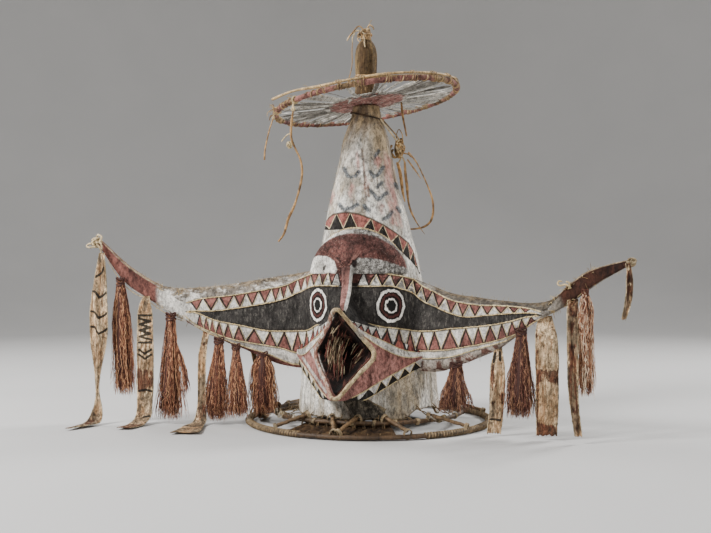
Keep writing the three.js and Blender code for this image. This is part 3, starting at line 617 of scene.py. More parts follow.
def face_material():
    p = Paint("painted_barkcloth")
    row, across = p.value("row"), p.value("across")
    ragged = p.jitter(0.16, 230, 4, 0.7)
    row = p.add(row, p.times(ragged, 0.35))
    white = white_cloth(p, (0.35, 1, 1))
    pink = worn(p, "916158", "623d37", 0.42, 0.66, 60, (1, 1, 0.5))
    pink = p.dust(pink, "cfa79c", 0.45, 0.6, 0.7, 300, 5, 0.75)
    black = p.mix(p.fade(p.noise(40, 6, 0.75, (1, 1, 0.6), 0.4), 0.45, 0.75), BLACK, FADED_BLACK)
    black = p.dust(black, "77726b", 0.55, 0.50, 0.66, 240, 4, 0.8, (1, 1, 0.3))

    upper = p.add(p.tooth(p.value("run_up"), p.less(2.0, row)), ragged)
    lower = p.add(p.tooth(p.value("run_low"), p.less(row, 3.0)), ragged)
    color = white
    for edge_value, first in ((upper, 1.0), (lower, 3.0)):
        band = p.both(p.fade(row, first - 0.02, first + 0.02), p.fade(row, first + 1.02, first + 0.98))
        tooth = p.mix(p.fade(edge_value, 0.98, 1.0), white, pink)
        outline = p.fade(p.gap(edge_value, 1.08), 0.17, 0.11)
        tooth = p.mix(p.times(outline, 0.92), tooth, BLACK)
        color = p.mix(band, color, tooth)
    field = p.both(p.fade(row, 1.99, 2.03), p.fade(row, 3.02, 2.98))
    color = p.mix(field, color, black)
    soot = p.both(p.fade(p.gap(across, 0.03), 0.19, 0.06), p.fade(row, 2.02, 1.98),
                  p.fade(p.noise(60, 5, 0.8, (0.6, 1, 1)), 0.38, 0.56))
    color = p.shade(color, p.fade(soot, 0.0, 0.9, 1.0, 0.30))
    for line in range(1, 6):
        seam = p.fade(p.gap(row, line), 0.10, 0.05)
        color = p.mix(p.times(seam, 0.6), color, "2c2622")
    hem = p.fade(row, 5.05, 5.25)
    hem_color = p.mix(p.fade(across, 0.05, 0.12), pink, worn(p, "7b5a50", "c9bdb0", 0.44, 0.54, 50))
    color = p.mix(hem, color, hem_color)

    # Outside the pattern the cloth is white, then the horns are pink
    ends = p.add(p.fade(across, -0.342, -0.347), p.fade(across, 0.356, 0.361))
    color = p.mix(p.both(ends, p.fade(row, 6.2, 6.0)), color, white)
    worn_end = p.fade(p.add(across, p.jitter(0.12, 60, 5, 0.8)), 0.345, 0.375)
    color = p.mix(p.times(worn_end, 0.85), color, worn(p, "9b8f7f", "554839", 0.40, 0.60, 60))
    bare = p.both(p.fade(row, 1.0, 0.8), p.fade(across, 0.09, 0.16))
    color = p.mix(p.times(bare, 0.92), color, worn(p, "7f7566", "3b3228", 0.36, 0.58, 110, (0.4, 1, 1)))
    soiled = p.both(p.fade(row, 1.02, 0.9), p.fade(across, 0.09, 0.05),
                    p.fade(p.noise(46, 6, 0.8, (0.5, 1, 1), 0.4), 0.42, 0.54))
    color = p.mix(p.times(soiled, 0.85), color, worn(p, "7c6f60", "443a30", 0.38, 0.60, 120))
    rim = p.fade(p.add(row, p.jitter(2.6, 90, 5, 0.8)), 0.50, 0.14)
    color = p.mix(p.times(rim, 0.85), color, worn(p, "84735b", "43372a", 0.4, 0.64, 120))
    # Painted shade: the right wing darkened towards its end, to about two thirds
    color = p.shade(color, p.fade(across, 0.10, 0.36, 1.0, 0.68))
    side = p.value("tip")
    horn = p.mix(p.fade(across, 0.0, 0.01), worn(p, "86574d", "4c302b", 0.4, 0.66, 40),
                 worn(p, "43291f", "241815", 0.4, 0.62, 45))
    body = p.both(p.fade(row, 0.25, 0.5), p.fade(row, 5.7, 5.4))
    color = p.mix(p.both(side, body), color, horn)
    color = p.mix(p.both(side, p.fade(row, 0.5, 0.25)), color, worn(p, "a89478", "5a4633", 0.4, 0.7, 90))

    # Eyes: rings laid on by hand, with ragged edges
    eye = p.add(p.value("eye"), p.jitter(4.0, 300, 4, 0.75))
    ring = color
    for radius, tone in ((33.0, "2a2725"), (29.4, "e6e1d8"), (24.6, "1d1513"), (21.8, "4a2a26"), (17.8, "1d1412"),
                         (13.4, "e6e1d8"), (10.6, "1c1a19")):
        ring = p.mix(p.fade(eye, radius + 0.6, radius - 0.6), ring, worn(p, tone, "5a4e49", 0.60, 0.8, 190))
    color = p.mix(p.fade(p.value("row"), 6.2, 6.0), color, ring)

    plain = worn(p, "9a7f5c", "5f4a33", 0.35, 0.7, 24, (1, 1, 0.2))
    color = p.mix(p.fade(p.value("row"), 6.15, 6.3), color, plain)
    raised = p.times(p.both(p.fade(upper, 0.9, 1.0), p.fade(upper, 1.2, 1.05)), 0.3)
    return p.done(color, p.add(p.bark((0.35, 1, 1)), raised), 0.0019, grime=0.55)


mesh_piece(
    "face_skin", skin, grid_faces(len(skin), columns, wrap_rows=True),
    {"row": np.broadcast_to(row_value[:, None], skin.shape[:2]), "across": spread / 1000,
     "run_up": np.broadcast_to(run_of(xs, APEX_UP_LEFT, APEX_UP_RIGHT), skin.shape[:2]),
     "run_low": np.broadcast_to(run_of(xs, APEX_LOW_LEFT, APEX_LOW_RIGHT), skin.shape[:2]),
     "eye": eye, "tip": tips},
    face_material(), ["face_and_wings"],
)

# Split canes stitched along the painted lines and along both flanks of every triangle
canes = Heap()
for index, (first, last, lift) in {
    1: (-343, 357, 1.2), 2: (-341, 350, 0.8), 3: (-343, 352, 0.8), 4: (-345, 357, 1.0), 5: (-330, 340, 0.9),
}.items():
    for a, b in ((first, -22), (14, last)) if index in (1, 2) else ((first, -66), (24, last)):
        line_x = np.linspace(a, b, 150)
        line_z = face_lines(line_x)[index] + rng.normal(0, 0.25, 150)
        canes.tubes(face_point(line_x, line_z, lift), 1.15, 6, tone=rng.uniform(0, 0.6))
for apexes, base_line, tip_line, gaps in (
    (APEX_UP_LEFT, 2, 1, (-344, -20)), (APEX_UP_RIGHT, 2, 1, (12, 357)),
    (APEX_LOW_LEFT, 3, 4, (-345, -66)), (APEX_LOW_RIGHT, 3, 4, (26, 357)),
):
    middles = [(a + b) / 2 for a, b in zip(apexes, apexes[1:])]
    for i, apex in enumerate(apexes[1:-1], 1):
        for foot in (middles[i - 1], middles[i]):
            if min(apex, foot) < gaps[0] or max(apex, foot) > gaps[1]:
                continue
            flank_x = np.linspace(foot, apex, 7)
            t = np.linspace(0.03, 0.97, 7)
            lines = face_lines(flank_x)
            flank_z = lines[base_line] * (1 - t) + lines[tip_line] * t
            flank_x = flank_x + (1.3 if foot < apex else -1.3)
            canes.tubes(face_point(flank_x, flank_z, 0.5), 0.62, 5, tone=rng.uniform(0, 0.5))
for index in range(1, 6):
    for x in np.arange(-335, 350, 17.0) + rng.uniform(-3, 3, 41):
        if -70 < x < 60 and index > 2 or -22 < x < 14:
            continue
        z = face_lines(np.array([x]))[index][0]
        stitch = face_point(np.array([x - 1.2, x, x + 1.2]), z + np.array([-2.4, 0, 2.4]), [0.2, 2.6, 0.2])
        canes.tubes(stitch, 0.5, 4, tone=0.9)
strand_x = np.linspace(-500, -352, 40)
strand_z = along(FACE_BOTTOM, strand_x) - 1.5 - 4.5 * np.abs(np.sin((strand_x + 500) / 148 * 2 * math.pi))
canes.tubes(np.stack([strand_x, face_front(strand_x) + along(FACE_THICKNESS, strand_x) / 2 - 3, strand_z], -1), 0.8, 6,
            tone=0.3)
canes.piece("face_canes", PALE_CANE, (), "cane")


# Marks laid on by hand: their places are drawn as seen from the camera and carried onto the surfaces

def pixels_of(points):
    p = metres(points) - EYE
    depth = p @ AHEAD
    return WIDE / 2 + FOCAL_PIXELS * (p @ RIGHT) / depth, HIGH / 2 - FOCAL_PIXELS * p[..., 2] / depth


def line_gap(u, v, line):
    line = np.asarray(line, float)
    best = np.full(np.shape(u), 1e9)
    for a, b in zip(line, line[1:]):
        d = b - a
        t = np.clip(((u - a[0]) * d[0] + (v - a[1]) * d[1]) / max(d @ d, 1e-9), 0, 1)
        best = np.minimum(best, np.hypot(u - a[0] - t * d[0], v - a[1] - t * d[1]))
    return best


def area_gap(u, v, area):
    """Distance to the outline of an area, negative inside."""
    ring = np.vstack([area, area[:1]]).astype(float)
    inside = np.zeros(np.shape(u), bool)
    for a, b in zip(ring, ring[1:]):
        if a[1] == b[1]:
            continue
        crosses = (a[1] > v) != (b[1] > v)
        inside ^= crosses & (u < (b[0] - a[0]) * (v - a[1]) / (b[1] - a[1]) + a[0])
    return np.where(inside, -1, 1) * line_gap(u, v, ring)


FAR = 9.0


def marks(u, v, lines=(), areas=(), half=1.0):
    """Distance from the nearest of lines of some half width and of areas, FAR at most."""
    gap = np.full(np.shape(u), FAR)
    for line in lines:
        gap = np.minimum(gap, line_gap(u, v, line) - half)
    for area in areas:
        gap = np.minimum(gap, area_gap(u, v, area))
    return gap


def between(u, top, bottom):
    """Where u crosses two curves of the picture."""
    return tuple(np.interp(u, *np.array(curve, float).T) for curve in (top, bottom))


# Helmet: tube and cone, hollow, with a ragged hem
helmet_columns = 260
turn = 2 * np.pi * np.arange(helmet_columns) / helmet_columns


def bump_at(turn, degrees, width):
    """1 at an angle, falling off to both sides."""
    return np.exp(-(np.degrees(np.angle(np.exp(1j * (turn - math.radians(degrees))))) / width) ** 2)


def helmet_surface(z, inset=0.0):
    """One ring of points for every row of heights (row, column)."""
    fade = np.clip((165 - z) / 165, 0, 1)
    fold = 3 * fade * (np.sin(7 * turn + 0.6) + 0.6 * np.sin(13 * turn)) / 1.6
    radius = along(HELMET_RADII, z) + fold - inset
    radius = radius - 5 * bump_at(turn, -41, 3.5) * ease(z, 140, 60) + 4 * bump_at(turn, -33, 5.0) * ease(z, 125, 50)
    ring = spoke(turn, z / 330)
    creases = rough(ring, 4.5, 4) * 1.6 + rough(ring * [1, 1, 2.0], 8, 8) * 0.9
    radius = radius + creases * (0.35 + 0.9 * fade) * ease(z, 640, 600)
    return np.stack([radius * np.cos(turn) + lean(z), radius * np.sin(turn), z], -1)


def hem_at(angle):
    wave = spoke(angle)
    degrees = np.degrees(np.angle(np.exp(1j * (angle - math.radians(-22)))))
    return 23 + 5 * rough(wave, 2.3, 6) + 3 * rough(wave, 9, 2) + 14 * ease(np.abs(degrees), 22, 12)


outer_rows = np.concatenate([np.linspace(633, 330, 112), np.linspace(327, 20, 80)])
hem = hem_at(turn)
z_rows = outer_rows[:, None] * np.ones(helmet_columns)
z_rows = np.where(z_rows < 140, hem + (z_rows - 20) * (140 - hem) / 120, z_rows)
outer = helmet_surface(z_rows)
inner_z = np.linspace(0, 1, 44)[:, None] * (588 - hem - 1) + hem + 1
inner = helmet_surface(inner_z, 4.5)
cap = outer[:1] * [0, 0, 1] + [LEAN, 0, 0]
roof = inner[-1:] * [0, 0, 1] + [LEAN, 0, 4]
helmet = np.concatenate([cap, outer, inner, roof])
HIDDEN_ROWS = 46  # the inner wall with its roof, and the hem
helmet_faces = grid_faces(len(helmet), helmet_columns, wrap_columns=True)
u, v = pixels_of(helmet)
to_eye = unit(EYE - metres(helmet))
outward = unit(spoke(turn, 0.2))
seen = (to_eye * outward).sum(-1) > 0.06
seen[-HIDDEN_ROWS:] = False

dark_marks = marks(u, v, [
    [(344.5, 168.5), (347.5, 175.5), (351.5, 176.5)], [(355.5, 176), (359, 171.5)],
    [(370, 171.5), (373.5, 176.5), (377.5, 175), (383, 167.5)], [(370.5, 190.5), (378, 199.5), (387, 192.5)],
    [(377.5, 187), (381.5, 182.5)], [(339.5, 204.5), (344, 209.5), (351, 208), (357.5, 204.5)],
    [(383.5, 219), (388.5, 217), (392, 212)], [(395, 184), (397.5, 187.5)], [(397, 207.5), (400, 211.5)],
    [(375.5, 155.5), (378.5, 151.5)], [(364, 206), (369, 211)],
], half=2.1)
pink_marks = marks(u, v, areas=[
    [(384, 150), (391, 160), (395, 190), (403, 228), (391, 224), (386, 190)],
    [(351, 183), (355, 186), (352, 200), (348, 194)], [(376, 154), (382, 160), (378, 168), (374, 162)],
    [(378, 200), (384, 206), (383, 216), (377, 210)], [(357, 150), (360, 160), (359, 174), (356, 162)],
    [(366, 176), (369, 184), (368, 196), (364, 186)], [(331, 188), (335, 194), (332, 206), (328, 202)],
])
# Rust streaks on the cone, and a painted shadow: the dark brown area at the cone's top, under the crown disc
rust_and_shadow_marks = marks(u, v, [[(362, 150), (364, 165), (364.5, 182), (366, 200)], [(368, 186), (369, 196)]], [
    [(350, 106), (352, 98), (360, 94), (371, 95), (377, 101), (372, 104), (364, 105), (356, 106)],
], half=1.1)
band_top, band_low = between(
    u, [(321.5, 232), (323.8, 225.4), (328, 218.5), (332.7, 214.6), (345.3, 212.1), (358, 214), (370.7, 218.4),
        (383.3, 224.8), (396, 233), (408.7, 243.1), (413.7, 252), (417.5, 265.9), (419, 272)],
    [(321.5, 232), (323.8, 229.5), (339, 228.5), (358, 229), (369.4, 232.8), (380.8, 237.6), (390.9, 242.6),
     (401, 250.2), (411.2, 260.4), (417.5, 268.5), (419, 274)])
band_level = (v - band_top) / (band_low - band_top)
band_run = np.interp(u, [322, 336.3, 350.4, 357.5, 362.5, 371.3, 376.5, 383.3, 398.5, 407.4, 413.5, 418],
                     [-1.0, 0, 1, 1.5, 1.5, 2, 2.5, 3, 4, 5, 6, 7])
in_band = np.where((v > 205) & (v < 285) & (u > 318) & (u < 420), 1.0, 0.0)
# Dark blue-grey patches on the tube's front, and painted shade down the tube's fold at its right
patch_and_fold_shade_marks = marks(u, v, [[(393, 392), (395, 404), (393, 414)], [(420, 372), (417, 392)], [(404, 398), (405, 412)]],
                   half=2.0)
for values, empty in ((dark_marks, FAR), (pink_marks, FAR), (rust_and_shadow_marks, FAR), (patch_and_fold_shade_marks, FAR), (in_band, 0)):
    values[~seen] = empty


def helmet_material():
    p = Paint("helmet_cloth", 0.18)
    height = p.value("height")
    color = p.mix(p.fade(p.noise(26, 5, 0.7, (1, 1, 0.16), 0.5), 0.38, 0.64), "e6e2d9", "9d9587")
    cream = p.fade(p.add(height, p.jitter(0.5, 9, 3, 0.6, (1, 1, 0.3))), 0.40, 0.60)
    color = p.mix(p.times(cream, 0.92), color, worn(p, "a08965", "57432e", 0.42, 0.64, 42, (1, 1, 0.2)))
    color = p.dust(color, "b79f78", 0.45, 0.52, 0.68, 13, 4, 0.65, (1, 1, 0.35))
    specks = p.fade(p.noise(260, 6, 0.8, (1, 1, 0.4)), 0.56, 0.68)
    patchy = p.fade(p.noise(40, 4, 0.7), 0.42, 0.62)
    color = p.mix(p.both(specks, patchy, 0.8), color, "5f5d5a")
    smears = p.fade(p.noise(120, 6, 0.85, (1, 1, 0.5), 0.6), 0.50, 0.60)
    clouds = p.fade(p.noise(30, 4, 0.7, (1, 1, 0.5)), 0.46, 0.60)
    color = p.mix(p.both(smears, clouds, 0.75), color, "66615a")
    color = p.dust(color, "7e6a52", 0.5, 0.54, 0.64, 75, 4, 0.7, (1, 1, 0.06), 0.3)
    low_part = p.fade(height, 0.20, 0.12)
    grime = p.both(p.fade(p.noise(55, 6, 0.85, (1, 1, 0.3), 0.8), 0.47, 0.57),
                   p.fade(p.noise(14, 3, 0.6, (1, 1, 0.5)), 0.42, 0.56))
    # Painted light: the lower tube made up to a third lighter
    color = p.shade(color, p.fade(low_part, 0.0, 1.0, 1.0, 1.3))
    color = p.mix(p.both(low_part, grime, 0.5), color, worn(p, "7d776d", "4c463e", 0.44, 0.6, 90, (1, 1, 0.4)))
    ochre = p.both(p.fade(p.noise(40, 5, 0.8, (1, 1, 0.2), 0.4), 0.50, 0.62), low_part)
    color = p.mix(p.times(ochre, 0.35), color, "c2a97e")
    ragged = p.jitter(5.0, 170, 5, 0.8)

    def laid(key, soft, share, tone, ground, broken=1.0):
        mask = p.fade(p.add(p.value(key), p.times(ragged, broken)), soft, -soft)
        return p.mix(p.times(mask, share), ground, tone)

    color = laid("pink_mark", 2.0, 0.75, worn(p, "b98379", "b3a094", 0.44, 0.64, 60, (1, 1, 0.3)), color, 1.6)
    # rust streaks, and the painted shadow under the crown
    color = laid("rust_and_shadow_mark", 1.2, 0.8, worn(p, "74503f", "3d2b20", 0.42, 0.6, 60), color)
    # blue-grey patches, and painted shade along the tube's fold
    color = laid("patch_and_fold_shade_mark", 5.0, 0.75, worn(p, "4b4f50", "8f8877", 0.44, 0.64, 90, (1, 1, 0.4)), color, 2.0)
    color = laid("dark_mark", 1.0, 0.9, worn(p, "353a3f", "7d8183", 0.44, 0.62, 190, (1, 1, 0.6)), color, 0.95)

    level, run = p.value("band_level"), p.value("band_run")
    tooth = p.tooth(run, p.less(1.0, level))
    tooth = p.add(tooth, p.jitter(0.12, 200, 4, 0.7))
    paint = p.mix(p.fade(tooth, 0.98, 1.0), worn(p, "26221f", FADED_BLACK, 0.5, 0.75, 60),
                  worn(p, "9a5f55", DARK_PINK, 0.4, 0.7, 70))
    paint = p.mix(p.fade(p.gap(tooth, 1.03), 0.075, 0.035), paint, "cbb894")
    inside = p.both(p.fade(level, -0.02, 0.03), p.fade(level, 1.12, 1.04), p.value("band"))
    color = p.mix(inside, color, paint)
    rim_line = p.both(p.fade(p.maths("ABSOLUTE", level), 0.09, 0.05), p.value("band"))
    color = p.mix(p.times(rim_line, 0.8), color, "3a2a20")
    color = p.mix(p.value("inner"), color, worn(p, "86704f", "5a4831", 0.4, 0.7, 30, (1, 1, 0.2)))
    hem_tone = p.fade(p.add(height, p.jitter(0.03, 60, 4, 0.7)), 0.048, 0.024)
    color = p.mix(p.times(hem_tone, 0.5), color, "8d7c62")
    return p.done(color, p.bark((1, 1, 0.2)), 0.0026, grime=0.62)


inner_mark = np.zeros(helmet.shape[:2])
inner_mark[-HIDDEN_ROWS:] = 1
mesh_piece(
    "helmet_cloth", helmet, helmet_faces,
    {"height": helmet[..., 2] / 1000, "dark_mark": dark_marks, "pink_mark": pink_marks, "rust_and_shadow_mark": rust_and_shadow_marks,
     "patch_and_fold_shade_mark": patch_and_fold_shade_marks, "band_level": np.clip(band_level, -3, 4), "band_run": band_run, "band": in_band,
     "inner": inner_mark},
    helmet_material(), ["helmet_shell"],
)

# Brow: the stuffed bulge over the face
dome_columns, dome_rows = 96, 48
DOME_FOOT, DOME_RISE = 300, 78
half_angle = math.radians(57)
angles = np.linspace(-half_angle, half_angle, dome_columns)
share = np.linspace(0, 1, dome_rows)[:, None]
across = angles / half_angle
arch = np.sqrt(np.maximum(1 - across ** 2, 0)) * np.ones((dome_rows, 1))
dome_z = DOME_FOOT + share * (DOME_RISE * arch + 7)
swell = 24 * arch ** 0.7 * np.sqrt(np.maximum(1 - share ** 2.4, 0))
swell = swell + 9 * ease(-across, 0.35, 0.85) * arch ** 0.5 * (1 - share ** 2)


def dome_point(out):
    return np.stack([out * np.sin(angles) + lean(dome_z), -out * np.cos(angles), dome_z], -1)


dome_z[0] -= 3
dome_radius = along(HELMET_RADII, dome_z)
dome = dome_point(dome_radius + 2.8 + swell)
dome[:, :, 1] += rough(dome / 1000, 28, 2) * 1.2 * np.minimum(arch * 2, 1)
dome_back = dome_point(dome_radius + 1.0)
dome_all = np.concatenate([dome, dome_back[::-1]])
u, v = pixels_of(dome_all)
white_left = [(300, 259.5), (311.3, 258.5), (318.8, 255.6), (328, 256.7), (334, 261.0), (337, 270), (330, 285),
              (300, 285)]
white_right = [(348.5, 285), (350, 266), (352.7, 263.6), (357.9, 257.9), (370.5, 257.9), (386.6, 261.3),
               (402.7, 266.8), (425, 275), (425, 290)]
brow_white = marks(u, v, areas=[white_left, white_right])
brow_white = np.minimum(brow_white, doubled((1 - share) * DOME_RISE * arch - 9) / 3)
fan = np.arctan2(v - 268, u - 347)
fan_reach = np.hypot(v - 268, u - 347)
brow_fold = rough(np.stack([np.cos(fan) * 7, np.sin(fan) * 7, fan_reach / 30], -1), 1.0, 4)
brow_fold += 0.8 * rough(np.stack([np.cos(fan) * 22, np.sin(fan) * 22, fan_reach / 10], -1), 1.0, 6)
brow_fold *= np.exp(-fan_reach / 24)
brow_shade = np.exp(-((u - 352 - (268 - v) * 0.3) / 17) ** 2) * np.clip((v - 214) / 25, 0, 1)
brow_shade += 0.5 * np.exp(-((u - 384) / 9) ** 2)
brow_dark = marks(u, v, [[(352.5, 263.5), (355, 266.5)], [(330.5, 233), (331.5, 234.5)], [(363, 237), (364, 239)],
                         [(325, 266), (324, 269)], [(340, 262), (338, 258)]],
                  [[(352, 259.5), (356.5, 260.5), (357.5, 264.5), (354.5, 268), (351.5, 265)]], half=1.2)
brow_dark = np.minimum(brow_dark, marks(u, v, [[(332, 238), (335, 247), (340, 257)], [(385, 247), (381, 254)],
                                               [(376, 243), (372, 250)], [(396, 255), (393, 260)]], half=0.1))


def brow_material():
    p = Paint("brow_cloth")
    color = worn(p, "8a5a52", "4b2e28", 0.36, 0.60, 22, (1, 1, 0.7))
    color = p.dust(color, "3c2722", 0.7, 0.50, 0.62, 110, 5, 0.8, (1, 1, 0.35), 0.4)
    color = p.dust(color, "c0a298", 0.35, 0.54, 0.64, 300, 5, 0.8)
    color = p.shade(color, p.fade(p.value("shade"), 0.0, 1.0, 0.95, 0.38))
    ragged = p.jitter(4.0, 150, 5, 0.8)
    fold = p.value("fold")
    # Painted shade in the folds' hollows and painted highlight on their crests
    color = p.mix(p.times(p.fade(fold, 0.06, 0.30), 0.6), color, "2f1c18")
    color = p.mix(p.times(p.fade(fold, -0.10, -0.35), 0.3), color, "b18478")
    white = white_cloth(p)
    white = p.dust(white, "77736d", 0.6, 0.5, 0.62, 140, 6, 0.8, (1, 1, 0.6))
    right = p.value("right")
    dark_specks = p.times(p.fade(p.noise(150, 6, 0.85), 0.40, 0.56), right)
    white = p.mix(p.times(dark_specks, 0.9), white, "46413d")
    # Painted light and shade: the white made lighter at the brow's left and darker from the middle to the right; the
    # specks above are dirt
    white = p.shade(white, p.fade(right, 0.0, 1.0, 1.25, 0.66))
    color = p.mix(p.fade(p.add(p.value("white_mark"), p.times(ragged, 0.5)), 0.8, -0.8), color, white)
    color = p.mix(p.fade(p.add(p.value("dark_mark"), ragged), 0.9, -0.9), color, "1f1512")
    return p.done(color, p.add(p.bark((0.4, 1, 1)), p.times(fold, -1.2)), 0.0022)


mesh_piece("brow_bulge", dome_all, grid_faces(len(dome_all), dome_columns, wrap_rows=True),
           {"white_mark": brow_white, "dark_mark": brow_dark, "fold": brow_fold, "shade": brow_shade,
            "right": np.clip((u - 344) / 10, 0, 1) * np.clip((428 - u) / 25, 0, 1)},
           brow_material(), ["brow_dome"])

trims = Heap()
rope = smooth_path(dome_point(dome_radius + 3.0)[-1], 160)
trims.tubes(rope, 2.2 + 0.5 * np.sin(np.arange(160) * 1.9), 7, tone=0.15)
for i in range(3, 157, 7):
    lash = np.array([rope[i] + unit(rope[i] * [1, 1, 0]) * 3.2 + [0, 0, d] for d in (-3, 0, 3)])
    trims.tubes(lash, 0.7, 4, tone=0.8)


# Snout: the jaws, cut fine and softened, with the mouth's hollow
LONGEST_EDGE = 0.0042
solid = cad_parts["snout"]
jaws = bmesh.new()
jaws.from_mesh(solid.data)
jaws.transform(solid.matrix_world)
bmesh.ops.remove_doubles(jaws, verts=jaws.verts, dist=0.0002)
for step in range(7):
    long_edges = [e for e in jaws.edges if e.calc_length() > LONGEST_EDGE]
    if not long_edges:
        break
    bmesh.ops.subdivide_edges(jaws, edges=long_edges, cuts=1)
    bmesh.ops.triangulate(jaws, faces=[f for f in jaws.faces if len(f.verts) > 3])
for step in range(5):
    bmesh.ops.smooth_vert(jaws, verts=jaws.verts, factor=0.5, use_axis_x=True, use_axis_y=True, use_axis_z=True)
jaws.normal_update()
jaws.verts.index_update()
jaw_points = (np.array([v.co for v in jaws.verts]) - ZERO) * 1000
jaw_normals = np.array([v.normal for v in jaws.verts])
jaw_faces = [[v.index for v in f.verts] for f in jaws.faces]
jaws.free()
jaw_points += jaw_normals * (rough(jaw_points / 1000, 26, 3) * 1.3 + rough(jaw_points / 1000, 70, 1) * 0.5)[:, None]

BEAK_WHITE_TOP = [(352, 323), (358, 327.5), (363.6, 331.5), (370.5, 335.5), (379.7, 339.5), (388.9, 343.5),
                  (398.1, 348.1), (407.3, 351), (416.5, 352.2), (428, 352.7)]
BEAK_WHITE_LOW = [(352, 325), (358, 330.5), (364.8, 336.5), (372.8, 342.2), (382, 347.9), (391.2, 352.8),
                  (400.4, 356.2), (410.8, 357.7), (420, 356.5), (428, 355)]
JAW_TOP = [(345, 401), (351, 398.2), (363.6, 391.8), (377.4, 383.2), (391.2, 375.2), (405, 367.7), (416.5, 361.4),
           (430, 354.2)]
JAW_LOW = [(345, 407), (359, 406.5), (363.6, 406.2), (377.4, 397), (391.2, 389), (405, 380.3), (416.5, 373.4),
           (430, 365)]
FIELD_LOW = [(345, 317), (352.1, 321.1), (370.5, 326.9), (387.8, 329.2), (405, 331.5), (430, 333)]


# The far side of the snout is painted as its near side is seen
SNOUT_PARTING = -3
near = jaw_points[:, 0] > SNOUT_PARTING
own_u, own_v = pixels_of(np.where(near[:, None], jaw_points, jaw_points * [-1, 1, 1]))
beak_white = marks(own_u, own_v, areas=[BEAK_WHITE_TOP + BEAK_WHITE_LOW[::-1]])
jaw_band = marks(own_u, own_v, areas=[JAW_TOP + JAW_LOW[::-1]])
jaw_tree = BVHTree.FromPolygons([Vector(p) for p in metres(jaw_points)], jaw_faces)
tube_tree = BVHTree.FromPolygons([Vector(p) for p in metres(helmet).reshape(-1, 3)], helmet_faces.tolist())


def jaw_seen(u, v):
    """Whether the jaw, not the tube behind it, is what the camera sees there."""
    ray = Vector(pixel_ray(u, v))
    on_jaw = jaw_tree.ray_cast(Vector(EYE), ray)[3]
    on_tube = tube_tree.ray_cast(Vector(EYE), ray)[3]
    return on_jaw is not None and (on_tube is None or on_jaw < on_tube)


JAW_EDGE = []
for edge_u in np.arange(356, 428, 2.5):
    top_v = float(np.interp(edge_u, *np.array(JAW_TOP).T))
    seen_v = [v for v in np.arange(top_v + 1, top_v + 18, 0.4) if jaw_seen(edge_u, v)]
    JAW_EDGE.append((float(edge_u), max(seen_v) if seen_v else top_v + 8))
jaw_high, jaw_base = between(own_u, JAW_TOP, JAW_EDGE)
jaw_level = np.clip((own_v - jaw_high) / (jaw_base - jaw_high), -2, 3)
jaw_run = np.interp(own_u, [345, 368.2, 380.9, 392.4, 404.4, 415.1, 426], [-2.2, -1, 0, 1, 2, 3, 4])
field_high, field_base = between(own_u, FIELD_LOW, BEAK_WHITE_TOP)
field_level = np.clip((own_v - field_high) / (field_base - field_high), -2, 3)
field_run = np.interp(own_u, [345, 351, 357.9, 364.8, 371.7, 380.9, 392.9, 406.7, 415.4, 429.2],
                      [-1, 0, 1, 2, 3, 4, 5, 6, 7, 8])
diamond = np.abs(jaw_points[:, 0]) / 60 + np.abs(jaw_points[:, 2] - 153) / 84
throat = ease(diamond, 0.96, 0.88)
cheek_streaks = marks(*pixels_of(jaw_points), [
    [(309, 337), (313, 352), (322, 378)], [(303, 358), (312, 372), (326, 392)], [(318, 345), (321, 362), (325, 380)],
    [(312, 331), (309, 345), (314, 357)],
], half=1.1)
cheek_streaks[near] = FAR
above = np.where(own_v < field_base, 1.0, 0.0)


def snout_material():
    p = Paint("snout_cloth")
    color = worn(p, "a9786f", "7a5049", 0.42, 0.66, 24, (1, 1, 0.6))
    color = p.dust(color, "4e332d", 0.7, 0.50, 0.62, 60, 5, 0.75, (1, 1, 0.25), 0.5)
    color = p.dust(color, "c9a498", 0.5, 0.58, 0.68, 280, 5, 0.75)
    ragged = p.jitter(3.0, 200, 5, 0.8)
    white = white_cloth(p)
    dirty_white = p.dust(white, "7a756e", 0.55, 0.5, 0.62, 150, 6, 0.8)
    color = p.mix(p.fade(p.add(p.value("streak"), ragged), 0.8, -0.8), color, dirty_white)

    # Above the white band: small teeth, then the dark field of the eyes
    level = p.value("field_level")
    tooth = p.tooth(p.value("field_run"), level)
    teeth = p.mix(p.fade(tooth, 0.98, 1.0), dirty_white, worn(p, "97594f", "5a2f2a", 0.45, 0.7, 60))
    teeth = p.mix(p.fade(p.gap(tooth, 1.1), 0.22, 0.14), teeth, BLACK)
    upper = p.mix(p.fade(level, -0.03, 0.03), worn(p, BLACK, FADED_BLACK, 0.45, 0.75, 40), teeth)
    color = p.mix(p.value("above"), color, upper)
    color = p.mix(p.fade(p.add(p.value("white_mark"), p.times(ragged, 0.4)), 0.3, -0.3), color, dirty_white)

    level = p.value("jaw_level")
    tooth = p.tooth(p.value("jaw_run"), p.less(1.0, level))
    band = p.mix(p.fade(tooth, 1.0, 1.03), worn(p, "24211e", FADED_BLACK, 0.5, 0.75, 70), dirty_white)
    band = p.mix(p.fade(p.value("jaw_run"), -1.45, -1.6), band, "2a2622")
    color = p.mix(p.fade(p.value("jaw_mark"), 0.2, -0.2), color, band)
    inside = worn(p, "120c09", "38201a", 0.46, 0.70, 40, (1, 1, 0.25))
    inside = p.dust(inside, "6d4238", 0.6, 0.54, 0.64, 150, 5, 0.75, (1, 0.12, 0.3))
    color = p.mix(p.value("throat"), color, inside)
    return p.done(color, p.bark((1, 1, 0.3)), 0.0026, grime=0.7)


mesh_piece("snout_cloth", jaw_points, jaw_faces, {
    "white_mark": beak_white, "jaw_mark": jaw_band, "jaw_level": jaw_level, "jaw_run": jaw_run,
    "field_level": field_level, "field_run": field_run, "throat": throat, "streak": cheek_streaks, "above": above,
}, snout_material(), ["snout"])


